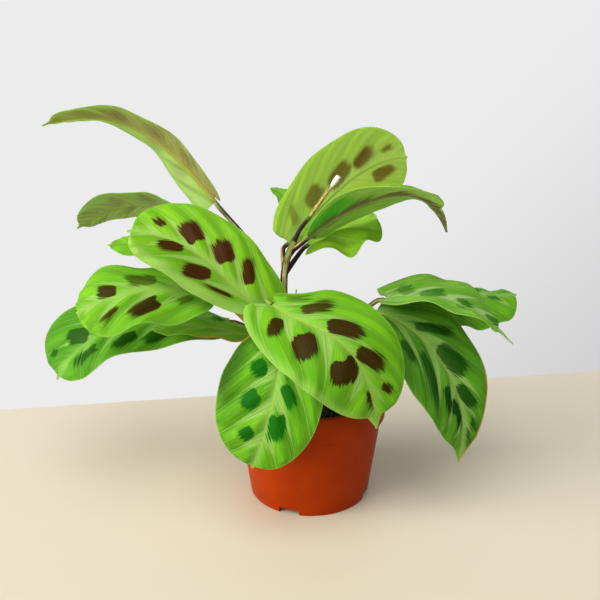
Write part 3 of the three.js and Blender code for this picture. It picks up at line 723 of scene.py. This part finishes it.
def make_blade(name, settings):
    """Bends a grid into a blade, writes on every point what its material reads, and gives it thickness."""
    leaf = {**USUAL, **settings}
    points = [Vector(p) for p in leaf["midrib"]]
    rows = SMALL_BLADE_ROWS if leaf["small"] else BLADE_ROWS
    columns = SMALL_BLADE_COLUMNS if leaf["small"] else BLADE_COLUMNS
    shares = [row_share(leaf, i / rows) for i in range(rows + 1)]
    lengths = [0.0]
    for a, b in zip(shares, shares[1:]):
        lengths.append(lengths[-1] + (bezier(points, b) - bezier(points, a)).length)
    total = lengths[-1]
    sides = {side: stations_of(leaf, side) for side in (-1, 1)}

    bm = bmesh.new()
    bmesh.ops.create_grid(bm, x_segments=columns, y_segments=rows, size=1)
    veins, marks, margin = [bm.verts.layers.float_vector.new(n) for n in ("veins", "marks", "margin")]
    dry, painted_margin_shade = [bm.verts.layers.float.new(n) for n in ("dry", "painted_margin_shade")]
    weight = bm.verts.layers.deform.verify()
    built = [blade_row(leaf, points, share) for share in shares]
    for vert in bm.verts:
        step = round((vert.co.y + 1) / 2 * rows)
        spread = vert.co.x
        across = math.copysign(abs(spread) ** COLUMN_SPREAD, spread)
        row = built[step]
        side = 1 if across > 0 else -1
        hand = 1 if across > 0 else 0
        point, normal = blade_point(leaf, row, across)
        out = abs(across) * row["widths"][hand]
        along = lengths[step] - sweep_at(leaf, row, hand, abs(across))
        place = vein_place(leaf, side, along, out)
        panel = panel_at(sides[side], place)
        blotch, ragged, strength = blotch_at(leaf, side, along, out)
        rim = (1 - abs(across)) * row["widths"][hand]
        inner = smooth(0, 6, out) * smooth(0, 5, rim)
        bulge = QUILT * (0.5 - 0.5 * math.cos(2 * math.pi * panel)) * inner
        groove = -MIDRIB_GROOVE * math.exp(-((out / 0.8) ** 2)) * (1 - shares[step])
        wobble = MARGIN_WOBBLE * noise.noise(Vector((place * 0.09, side * 3, total))) * smooth(8, 0, rim)
        vert.co = (point + normal * (bulge + groove + wobble)) * MM
        vert[veins] = (panel, across * row["widths"][hand], place)
        vert[marks] = (blotch, ragged, pale_at(leaf, side, panel, out, shares[step], rim))
        vert[margin] = (rim, shares[step], strength)
        vert[dry] = dry_at(leaf, side, shares[step], rim)
        vert[painted_margin_shade] = painted_margin_shade_at(leaf, side, shares[step], rim)
        rib = math.exp(-((out / RIB_HALF_WIDTH) ** 2)) * (1 - 0.85 * shares[step])
        near = abs(panel - round(panel))
        ridge = VEIN_RIDGE * math.exp(-((near / 0.04) ** 2)) * inner
        thickness = BLADE_THICKNESS + (RIB_THICKNESS - BLADE_THICKNESS) * rib + ridge
        vert[weight][0] = thickness / RIB_THICKNESS
    look = leaf["look"]
    piece = new_object(name + "_blade", bm, [MATERIALS[look], MATERIALS[look + "_under"]])
    piece.vertex_groups.new(name="thickness")
    solid = piece.modifiers.new("thickness", "SOLIDIFY")
    solid.thickness = RIB_THICKNESS * MM
    solid.offset = -1
    solid.vertex_group = "thickness"
    solid.material_offset = 1
    settle(piece, sharp_deg=50)
    stand_for(piece, name)
    return piece


# Leaf materials.

def blade_values(add):
    """What make_blade wrote on every point, and fine: a place that stretches along the side veins."""
    layers = [add("Attribute", out="Vector", attribute_name=n) for n in ("veins", "marks", "margin")]
    veins, marks, margin = [add("SeparateXYZ", [layer]).node.outputs for layer in layers]
    out = add("Math", [veins[1]], operation="ABSOLUTE")
    side = add("Math", [veins[1]], operation="SIGN")
    return SimpleNamespace(
        panel=veins[0], out=out, side=side, fine=add("CombineXYZ", (veins[2], out, side)), blotch=marks[0],
        ragged=marks[1], pale=marks[2], rim=margin[0], share=margin[1], strength=margin[2],
    )


def let_light_through(add, skin, colour, clear, bump, bright):
    """Ends a blade's material: light that comes through it shows it paler than its skin."""
    lit = add("Mix", {0: clear, 6: colour, 7: "F0FAB4"}, out=2, data_type="RGBA")
    glow = add("BsdfTranslucent", {"Color": lit, "Normal": bump})
    add("OutputMaterial", {"Surface": add("MixShader", (bright, skin, glow))})


def leaf_upper(name, look):
    """The upper side of a living leaf: a satin, slightly translucent skin with fine parallel veins."""
    green, dark, bone, spot, cloud, bone_strength, line_strength, bright = look
    material, add = new_material("living_leaf_upper_" + name)
    blade = blade_values(add)
    dry, painted_margin_shade = [add("Attribute", out="Fac", attribute_name=n) for n in ("dry", "painted_margin_shade")]

    # Fine veins: streaks 1 to 2 mm apart that run out with the side veins.
    streak = drawn_out_noise(add, blade.fine, (0.55, 0.05, 7.0), 3.0, 0.6)
    hair = drawn_out_noise(add, blade.fine, (1.6, 0.09, 5.0), 2.0)
    patch = drawn_out_noise(add, blade.fine, (0.05, 0.06, 9.0), 2.0)
    fine_part = add("Math", (hair, 0.8, streak), operation="MULTIPLY_ADD")
    shade_sum = add("Math", (patch, 0.8, fine_part), operation="MULTIPLY_ADD")
    shade = add("MapRange", (shade_sum, 1.08, 1.48))

    # Main side veins: thin pale lines, with painted shade beside them for the creases between the bulging
    # panels.
    near = add("Math", (blade.panel, 0.5), operation="PINGPONG")
    line = add("MapRange", (near, 0.04, 0.008), interpolation_type="SMOOTHSTEP")
    beside = add("MapRange", (near, 0.16, 0.07, 0.0, 0.4))
    thin = add("Math", (line, line_strength), operation="MULTIPLY")

    # Pale fishbone with a feathered edge, and painted shade: a deeper green along the margin.
    feather = add("Math", (streak, 5.6, -2.8), operation="MULTIPLY_ADD")
    pale_sum = add("Math", (blade.pale, feather), operation="ADD")
    pale_share = add("MapRange", (pale_sum, -4.0, 4.0), interpolation_type="SMOOTHSTEP")
    pale_part = add("Math", (pale_share, bone_strength), operation="MULTIPLY")
    painted_margin_shade_part = add("Math", (painted_margin_shade, 0.85), operation="MULTIPLY")

    # Blotches: crisp at the inner end, torn along the fine veins and hazy at the outer end.
    amount = add("Math", (blade.ragged, 8.0, 3.0), operation="MULTIPLY_ADD")
    centred = add("Math", (streak, 0.5), operation="SUBTRACT")
    tear = add("Math", (centred, amount, blade.blotch), operation="MULTIPLY_ADD")
    haze = add("MapRange", (tear, -1.6, 0.4), interpolation_type="SMOOTHSTEP")
    haze_part = add("Math", (haze, blade.ragged), operation="MULTIPLY")
    haze_full = add("Math", (haze_part, blade.strength), operation="MULTIPLY")
    core = add("MapRange", (tear, -0.25, 0.4), interpolation_type="SMOOTHSTEP")
    core_part = add("Math", (core, blade.strength), operation="MULTIPLY")
    grain = add("MapRange", (hair, 0.4, 0.7, 0.0, 0.45))
    inside = add("Mix", {0: grain, 6: spot, 7: cloud}, out=2, data_type="RGBA")

    # Yellow midrib, thin pale rim and dried edge.
    rib = add("MapRange", (blade.out, 0.9, 0.25), interpolation_type="SMOOTHSTEP")
    fading = add("MapRange", (blade.share, 0.0, 0.8, 0.7, 0.1))
    rib_part = add("Math", (rib, fading), operation="MULTIPLY")
    border = add("MapRange", (blade.rim, 0.7, 0.3, 0.0, 0.35))
    dried_sum = add("Math", (centred, 3.0, dry), operation="MULTIPLY_ADD")
    dried = add("MapRange", (dried_sum, -0.4, 0.4, 0.0, 0.9))

    # The colours lie over one another in this order.
    colour = dark
    for part, over in (
        (shade, green), (beside, dark), (pale_part, bone), (thin, "CCEC9C"), (painted_margin_shade_part, "1A5204"),
        (haze_full, cloud), (core_part, inside), (rib_part, "BED832"), (border, "C4E488"), (dried, "C88A3C"),
    ):
        colour = add("Mix", {0: part, 6: colour, 7: over}, out=2, data_type="RGBA")

    # Satin skin: fine ridges along the veins.
    ridge = add("Math", (hair, streak), operation="ADD")
    relief = add("Math", (line, 0.8, ridge), operation="MULTIPLY_ADD")
    bump = add("Bump", {"Strength": 0.6, "Distance": 0.0006, "Height": relief})
    gloss = add("MapRange", (streak, 0.3, 0.7, 0.4, 0.52))
    skin = {"Base Color": colour, "Roughness": gloss, "Specular IOR Level": 0.12, "Normal": bump}
    clear = add("MapRange", (core_part, 0.0, 1.0, 0.4, 0.0))
    let_light_through(add, add("BsdfPrincipled", skin), colour, clear, bump, bright)
    return material


def leaf_under(name, look, spot):
    """The underside: duller, with fine streaks beside a thin rib, and the blotches showing through as painted
    shade.
    """
    flesh, streaked, streaks, beside_rib, to_right, ribbed, through, bright = look
    material, add = new_material("living_leaf_under_" + name)
    blade = blade_values(add)

    # Streaks, stronger beside the rib and on one half.
    streak = drawn_out_noise(add, blade.fine, (0.5, 0.04, 6.0), 4.0, 0.65)
    strip = add("MapRange", (blade.out, 11.0, 2.0, -beside_rib, beside_rib))
    tipped = add("Math", (blade.side, to_right, strip), operation="MULTIPLY_ADD")
    streak_sum = add("Math", (streak, tipped), operation="ADD")
    streak_part = add("MapRange", (streak_sum, 0.4, 0.68, 0.0, streaks))

    # Blotches that show through, as painted shade, then main side veins and rib.
    torn_edge = add("Math", (streak, 4.0, -2.0), operation="MULTIPLY_ADD")
    torn = add("Math", (torn_edge, blade.blotch), operation="ADD")
    shadow = add("MapRange", (torn, -1.2, 1.2, 0.0, through))
    shown = add("Math", (shadow, blade.strength), operation="MULTIPLY")
    near = add("Math", (blade.panel, 0.5), operation="PINGPONG")
    line = add("MapRange", (near, 0.05, 0.01, 0.0, 0.25))
    rib = add("MapRange", (blade.out, 1.0, 0.5), interpolation_type="SMOOTHSTEP")
    fading = add("MapRange", (blade.share, 0.2, 1.0, 0.9, 0.3))
    rib_part = add("Math", (rib, fading), operation="MULTIPLY")
    colour = flesh
    for part, over in ((streak_part, streaked), (shown, spot), (line, "C4DC8C"), (rib_part, ribbed)):
        colour = add("Mix", {0: part, 6: colour, 7: over}, out=2, data_type="RGBA")

    bump = add("Bump", {"Strength": 0.3, "Distance": 0.0003, "Height": streak})
    skin = {"Base Color": colour, "Roughness": 0.5, "Specular IOR Level": 0.2, "Normal": bump}
    let_light_through(add, add("BsdfPrincipled", skin), colour, 0.4, bump, bright)
    return material


# Stems.

def spline_points(points, steps):
    """Points at even distances on a centripetal spline through the given ones."""
    first = points[0] * 2 - points[1]
    last = points[-1] * 2 - points[-2]
    line = [first, *points, last]
    dense = []
    for i in range(1, len(line) - 2):
        four = line[i - 1:i + 3]
        times = [0.0]
        for a, b in zip(four, four[1:]):
            times.append(times[-1] + max(1e-6, (b - a).length) ** 0.5)
        for k in range(SPLINE_STEPS):
            t = mix(times[1], times[2], k / SPLINE_STEPS)
            level = four
            for spans in (((0, 1), (1, 2), (2, 3)), ((0, 2), (1, 3)), ((1, 2),)):
                level = [
                    a * ((times[high] - t) / (times[high] - times[low]))
                    + b * ((t - times[low]) / (times[high] - times[low]))
                    for a, b, (low, high) in zip(level, level[1:], spans)
                ]
            dense.append(level[0])
    dense.append(points[-1])
    walked = [0.0]
    for a, b in zip(dense, dense[1:]):
        walked.append(walked[-1] + (b - a).length)
    even = []
    at = 0
    for step in range(steps + 1):
        goal = walked[-1] * step / steps
        while at < len(walked) - 2 and walked[at + 1] < goal:
            at += 1
        share = (goal - walked[at]) / max(1e-9, walked[at + 1] - walked[at])
        even.append(dense[at].lerp(dense[at + 1], clamp(share)))
    return even


def new_shoot():
    """An empty bmesh whose points tell how they grew: how far along, how far round, and which stalk."""
    bm = bmesh.new()
    bm.verts.layers.float_vector.new("grown")
    return bm


def add_tube(bm, path, radius_at, sides, tag=0.0):
    """Joins rings along a path. radius_at gives the radius at a share of the length and an angle."""
    grown = bm.verts.layers.float_vector["grown"]
    last = len(path) - 1
    way = (path[1] - path[0]).normalized()
    first = Vector((0, -1, 0)).cross(way).cross(way)
    normal = first.normalized() if first.length > 0.1 else way.orthogonal().normalized()
    walked = 0.0
    rings = []
    for step, place in enumerate(path):
        way = (path[min(step + 1, last)] - path[max(step - 1, 0)]).normalized()
        normal = (normal - way * normal.dot(way)).normalized()
        binormal = way.cross(normal)
        walked += (place - path[step - 1]).length if step else 0
        ring = []
        for i in range(sides):
            angle = 2 * math.pi * i / sides
            radius = radius_at(step / last, angle)
            vert = bm.verts.new(place + (normal * math.cos(angle) + binormal * math.sin(angle)) * radius)
            vert[grown] = (walked, i / sides, tag + step / last)
            ring.append(vert)
        rings.append(ring)
    for low, high in zip(rings, rings[1:]):
        for i in range(sides):
            bm.faces.new((low[i - 1], low[i], high[i], high[i - 1]))
    bm.faces.new(rings[0])
    bm.faces.new(reversed(rings[-1]))


def stalk_route(stem_path, stalk):
    """A stalk's points: where it leaves the shoot, by way of via, to the base of its blade."""
    start = stem_path[round(stalk["at"] * (len(stem_path) - 1))]
    via = [Vector(p) for p in stalk["via"]]
    if "to" in stalk:
        return [start, *via, Vector(stalk["to"])]
    points = [Vector(p) for p in LEAVES[stalk["leaf"]]["midrib"]]
    way = bezier_way(points, 0)
    return [start, *via, *[points[0] - way * back for back in (STALK_LEAD, STALK_LEAD / 2, BLADE_GAP)]]


def close_shoot(bm, name, material, sharp_deg):
    """Makes an object of tubes that were built in millimetres."""
    bmesh.ops.scale(bm, vec=(MM, MM, MM), verts=bm.verts)
    bmesh.ops.recalc_face_normals(bm, faces=bm.faces)
    return new_object(name, bm, [material], sharp_deg=sharp_deg)


def make_stem(name, settings):
    """A shoot with ribbed sheaths, and its leaf stalks with their swollen ends."""
    x, y = settings["foot"]
    rise = [Vector((x, y, SOIL_TOP + height)) for height in (-PLANTED, -PLANTED / 2, -1, 2)]
    path = spline_points(rise + [Vector(p) for p in settings["path"]], STEM_RINGS)
    bm = new_shoot()
    low, high = settings["radii"]

    def shoot_radius(share, angle):
        sheaths = 1 + 0.08 * math.cos(3 * angle + 4 * share) + 0.04 * math.cos(7 * angle)
        return mix(low, high, share) * sheaths

    add_tube(bm, path, shoot_radius, STEM_SIDES)
    for number, given in enumerate(settings["stalks"]):
        stalk = {**USUAL_STALK, **given}
        route = spline_points(stalk_route(path, stalk), STALK_RINGS)
        broad, slim = stalk["radii"]

        def stalk_radius(share, angle, broad=broad, slim=slim, swollen="leaf" in stalk):
            sheath = 1 + 0.12 * math.cos(angle) * (1 - share)
            knee = 0.14 * math.exp(-(((share - 0.93) / 0.06) ** 2)) if swollen else 0
            return mix(broad, slim, share) * (sheath + knee)

        add_tube(bm, route, stalk_radius, STALK_SIDES, tag=2.0 * (number + 1))
    piece = close_shoot(bm, name + "_shoot", MATERIALS.get(name, MATERIALS["stalk"]), sharp_deg=60)
    stand_for(piece, name)


def make_rolled_leaf():
    """The young blade is still rolled round itself, so a seam winds up it."""
    start, end = Vector(ROLLED_LEAF["from"]), Vector(ROLLED_LEAF["to"])
    path = [start.lerp(end, i / ROLLED_RINGS) for i in range(ROLLED_RINGS + 1)]
    low, middle, high = ROLLED_LEAF["radii"]

    def radius_at(share, angle):
        radius = mix(low, middle, share)
        radius += (high - middle) * smooth(0.7, 0.9, share) * (1 - 0.3 * smooth(0.93, 1, share))
        radius += 0.3 * math.exp(-(((share - 0.22) / 0.04) ** 2))
        turn = (angle / (2 * math.pi) + 1.4 * share) % 1
        return radius * (0.93 + 0.12 * turn)

    bm = new_shoot()
    add_tube(bm, path, radius_at, STALK_SIDES)
    piece = close_shoot(bm, "rolled_leaf", MATERIALS["rolled"], sharp_deg=50)
    stand_for(piece, "new_leaf_rolled")


def stalk_material(name, dark, pale, low, high):
    """A living stalk: purple-brown with a pale strip in front, striped lengthwise and green at its end."""
    material, add = new_material("living_stalk_" + name)
    grown = add("Attribute", out="Vector", attribute_name="grown")
    walked, turn, tag = add("SeparateXYZ", [grown]).node.outputs
    slid = add("Math", (tag, 0.04, turn), operation="MULTIPLY_ADD")
    round_turn = add("Math", (slid, 2 * math.pi, -1.9), operation="MULTIPLY_ADD")
    wave = add("Math", [round_turn], operation="SINE")
    streak = drawn_out_noise(add, add("CombineXYZ", (turn, walked, tag)), (34.0, 0.08, 1.0), 2.0)
    total = add("Math", (streak, 2.6, wave), operation="MULTIPLY_ADD")
    share = add("MapRange", (total, low, high), interpolation_type="SMOOTHSTEP")
    grown_share = add("Math", (tag, 2.0), operation="MODULO")
    end = add("MapRange", (grown_share, 0.85, 0.97, 0.0, 0.3))
    colour = dark
    for part, over in ((share, pale), (end, "86AA3A")):
        colour = add("Mix", {0: part, 6: colour, 7: over}, out=2, data_type="RGBA")
    bump = add("Bump", {"Strength": 0.35, "Distance": 0.0003, "Height": streak})
    skin = {"Base Color": colour, "Roughness": 0.45, "Specular IOR Level": 0.2, "Normal": bump}
    add("OutputMaterial", {"Surface": add("BsdfPrincipled", skin)})
    return material


def rolled_material():
    """A rolled young blade: tan with purple-brown seams, and a cream-white tip."""
    material, add = new_material("rolled_young_leaf")
    grown = add("Attribute", out="Vector", attribute_name="grown")
    walked, turn, _ = add("SeparateXYZ", [grown]).node.outputs
    streak = drawn_out_noise(add, add("CombineXYZ", (turn, walked)), (9.0, 0.2, 1.0), 2.0)
    seam = add("MapRange", (streak, 0.46, 0.62))
    tip = add("MapRange", (walked, 22.0, 26.5), interpolation_type="SMOOTHSTEP")
    colour = "D2B25C"
    for part, over in ((seam, "5E3420"), (tip, "FAF6EA")):
        colour = add("Mix", {0: part, 6: colour, 7: over}, out=2, data_type="RGBA")
    add("OutputMaterial", {"Surface": add("BsdfPrincipled", {"Base Color": colour, "Roughness": 0.5})})
    return material


# Pot.

def arc(centre, radius, from_deg, to_deg, steps=4):
    """Points of a rounded corner in the pot's profile."""
    angles = [math.radians(mix(from_deg, to_deg, i / steps)) for i in range(steps + 1)]
    return [(centre[0] + radius * math.cos(a), centre[1] + radius * math.sin(a)) for a in angles]


def pot_profile():
    """Radius and height, from the middle of the pad round the foot, band and rim to the floor's middle."""
    band = POT_HEIGHT - BAND_HEIGHT
    floor_top = FOOT_HEIGHT + FLOOR
    rounded = EDGE_ROUND
    inside = RIM_RADIUS - WALL - EDGE_ROUND
    lip = (RIM_RADIUS - inside) / 2
    return [
        (0, 0), (PAD_RADIUS - rounded, 0),
        *arc((PAD_RADIUS - rounded, rounded), rounded, -90, 0),
        (PAD_RADIUS + rounded, FOOT_HEIGHT),
        (BASE_RADIUS - FOOT_WIDTH - rounded, FOOT_HEIGHT), (BASE_RADIUS - FOOT_WIDTH, rounded),
        *arc((BASE_RADIUS - FOOT_WIDTH + rounded, rounded), rounded, 180, 270),
        *arc((BASE_RADIUS - rounded, rounded), rounded, -90, 0),
        (mix(BASE_RADIUS, BODY_TOP_RADIUS, 0.33), mix(rounded, band, 0.33)),
        (mix(BASE_RADIUS, BODY_TOP_RADIUS, 0.66), mix(rounded, band, 0.66)),
        (BODY_TOP_RADIUS - 0.2, band - 1.4),
        *arc((BODY_TOP_RADIUS + 0.8, band - 0.8), 0.8, 180, 90),
        *arc((RIM_RADIUS - 2 * rounded, band + rounded), rounded, -90, 0),
        (RIM_RADIUS - 0.35, mix(band, POT_HEIGHT, 0.5)),
        *arc((RIM_RADIUS - lip, POT_HEIGHT - lip), lip, 0, 180, 8),
        (inside, band + WALL + 1), (inside - 0.5, band + WALL),
        (BODY_TOP_RADIUS - WALL, band - 0.5), (BASE_RADIUS - WALL, floor_top + 1),
        (BASE_RADIUS - WALL - 1, floor_top), (0, floor_top),
    ]


def make_pot():
    """The moulded shell, turned from its profile, with its notches and drain holes cut out."""
    bm = spun(pot_profile(), POT_STEPS)
    bmesh.ops.recalc_face_normals(bm, faces=bm.faces)
    piece = new_object("pot_moulding", bm, [MATERIALS["pot"]])
    cutter = make_notch_cutter()
    cut = piece.modifiers.new("notches", "BOOLEAN")
    cut.object = cutter
    cut.operation = "DIFFERENCE"
    cut.solver = "EXACT"
    settle(piece, sharp_deg=40)
    bpy.data.objects.remove(cutter)
    stand_for(piece, "pot")


def make_notch_cutter():
    """The notches in the foot ring and the drain holes in the floor, as one cutting shape."""
    bm = bmesh.new()
    for i in range(NOTCHES):
        turned = Matrix.Rotation(math.radians(FIRST_NOTCH_DEG + i * 360 / NOTCHES), 4, "Z")
        size = Matrix.Diagonal((FOOT_WIDTH * 5 * MM, NOTCH_WIDTH * MM, NOTCH_HEIGHT * 2 * MM, 1))
        bmesh.ops.create_cube(bm, size=1, matrix=turned @ Matrix.Translation((BASE_RADIUS * MM, 0, 0)) @ size)
        place = Matrix.Translation((DRAIN_AT * MM, 0, (FOOT_HEIGHT + FLOOR / 2) * MM))
        bmesh.ops.create_cone(
            bm, cap_ends=True, segments=32, radius1=DRAIN_RADIUS * MM, radius2=DRAIN_RADIUS * MM,
            depth=4 * FLOOR * MM, matrix=turned @ place,
        )
    return new_object("notch_cutter", bm, [])


def pot_material():
    """Injection-moulded polypropylene in terracotta: an even satin with a faint flow grain."""
    material, add = new_material("moulded_polypropylene")
    place = add("TexCoord", out="Object")
    cloudy = add("TexNoise", {"Vector": place, "Scale": 45.0, "Detail": 3.0})
    share = add("MapRange", (cloudy, 0.35, 0.7))
    colour = add("Mix", {0: share, 6: "9A2E00", 7: "A43602"}, out=2, data_type="RGBA")
    flow = drawn_out_noise(add, place, (900.0, 900.0, 60.0), 2.0)
    bump = add("Bump", {"Strength": 0.12, "Distance": 0.0002, "Height": flow})
    gloss = add("MapRange", (cloudy, 0.3, 0.7, 0.36, 0.46))
    skin = {"Base Color": colour, "Roughness": gloss, "Specular IOR Level": 0.05, "Normal": bump}
    add("OutputMaterial", {"Surface": add("BsdfPrincipled", skin)})
    return material


# Soil.

def soil_inside(height):
    """Radius of the pot's inside, less a small gap, at a height."""
    band = POT_HEIGHT - BAND_HEIGHT
    floor_top = FOOT_HEIGHT + FLOOR
    if height >= band + WALL:
        return RIM_RADIUS - WALL - EDGE_ROUND - SOIL_GAP
    return mix(BASE_RADIUS, BODY_TOP_RADIUS, (height - floor_top) / (band - floor_top)) - WALL - SOIL_GAP


def make_soil():
    """Peat: a lumpy top with loose crumbs and fibres lying on it."""
    draw = random.Random(11)
    floor_top = FOOT_HEIGHT + FLOOR + SOIL_GAP
    band = POT_HEIGHT - BAND_HEIGHT
    top = soil_inside(SOIL_TOP)
    step = band + 0.5 * SOIL_GAP
    profile = [(0, floor_top), (soil_inside(floor_top), floor_top), (soil_inside(band), step)]
    profile += [(top, step + WALL), (top, SOIL_TOP - 2)]
    profile += [(top * ring / SOIL_RINGS, SOIL_TOP) for ring in range(SOIL_RINGS, -1, -1)]
    bm = spun(profile, SOIL_STEPS)
    for vert in bm.verts:
        if vert.co.z > (SOIL_TOP - 1) * MM:
            place = vert.co / MM
            vert.co.z += soil_lump(place.x, place.y) * MM
    for _ in range(CRUMBS):
        reach = (top - 2) * math.sqrt(draw.random())
        angle = draw.uniform(0, 2 * math.pi)
        x, y = reach * math.cos(angle), reach * math.sin(angle)
        size = draw.uniform(*(SMALL_CRUMBS if draw.random() < SMALL_SHARE else LARGE_CRUMBS))
        squash = Matrix.Diagonal((size * draw.uniform(0.7, 1.5), size, size * draw.uniform(0.5, 0.9), 1))
        turned = Matrix.Rotation(draw.uniform(0, 6.28), 4, (draw.random(), draw.random(), 0.5))
        lifted = Matrix.Translation((x, y, SOIL_TOP + soil_lump(x, y) + 0.2 * size))
        shaped = Matrix.Scale(MM, 4) @ lifted @ turned @ squash
        crumb = bmesh.ops.create_icosphere(bm, subdivisions=1, radius=1, matrix=shaped)
        for vert in crumb["verts"]:
            vert.co += Vector([draw.uniform(-CRUMB_DENTS, CRUMB_DENTS) * size * MM for _ in range(3)])
    bmesh.ops.recalc_face_normals(bm, faces=bm.faces)
    piece = new_object("peat", bm, [MATERIALS["peat"]], sharp_deg=35)
    stand_for(piece, "soil")


def soil_lump(x, y):
    """Height of the peat's top above its mean, in mm."""
    broad = math.sin(x / 5.3 + 0.7 * math.sin(y / 7.1)) * math.cos(y / 6.1) + 0.5 * math.sin((x - y) / 3.7)
    return 0.9 * broad + 0.8 * noise.fractal(Vector((x * 0.35, y * 0.35, 2.0)), 0.8, 2.1, 4)


def peat_material():
    """Moist peat: near black, rough, with brown fibres 2 to 3 mm apart."""
    material, add = new_material("moist_peat")
    place = add("TexCoord", out="Object")
    coarse = add("TexNoise", {"Vector": place, "Scale": 420.0, "Detail": 4.0, "Roughness": 0.7})
    share = add("MapRange", (coarse, 0.52, 0.72))
    colour = add("Mix", {0: share, 6: "17110D", 7: "5A4030"}, out=2, data_type="RGBA")
    bump = add("Bump", {"Strength": 0.8, "Distance": 0.001, "Height": coarse})
    skin = {"Base Color": colour, "Roughness": 0.9, "Specular IOR Level": 0.25, "Normal": bump}
    add("OutputMaterial", {"Surface": add("BsdfPrincipled", skin)})
    return material


MATERIALS = {
    "pot": pot_material(), "peat": peat_material(), "rolled": rolled_material(),
    "stalk": stalk_material("purple", "2A1420", "C4B868", 1.95, 2.4),
    "stem_left": stalk_material("straw", "523218", "BCA048", 0.9, 2.0),
    "stem_front": stalk_material("green", "5E7E26", "A4BE4C", 0.9, 2.0),
}
for look_name, look in LOOKS.items():
    under = UNDERSIDES.get(look_name, UNDERSIDES["green"])
    MATERIALS[look_name] = leaf_upper(look_name, look)
    MATERIALS[look_name + "_under"] = leaf_under(look_name, under, look[3])

make_camera()
make_light()
make_floor()
make_backdrop()
make_pot()
make_soil()
for stem_name, stem_settings in STEMS.items():
    make_stem(stem_name, stem_settings)
for leaf_name, leaf_settings in LEAVES.items():
    make_blade(leaf_name, leaf_settings)
make_rolled_leaf()
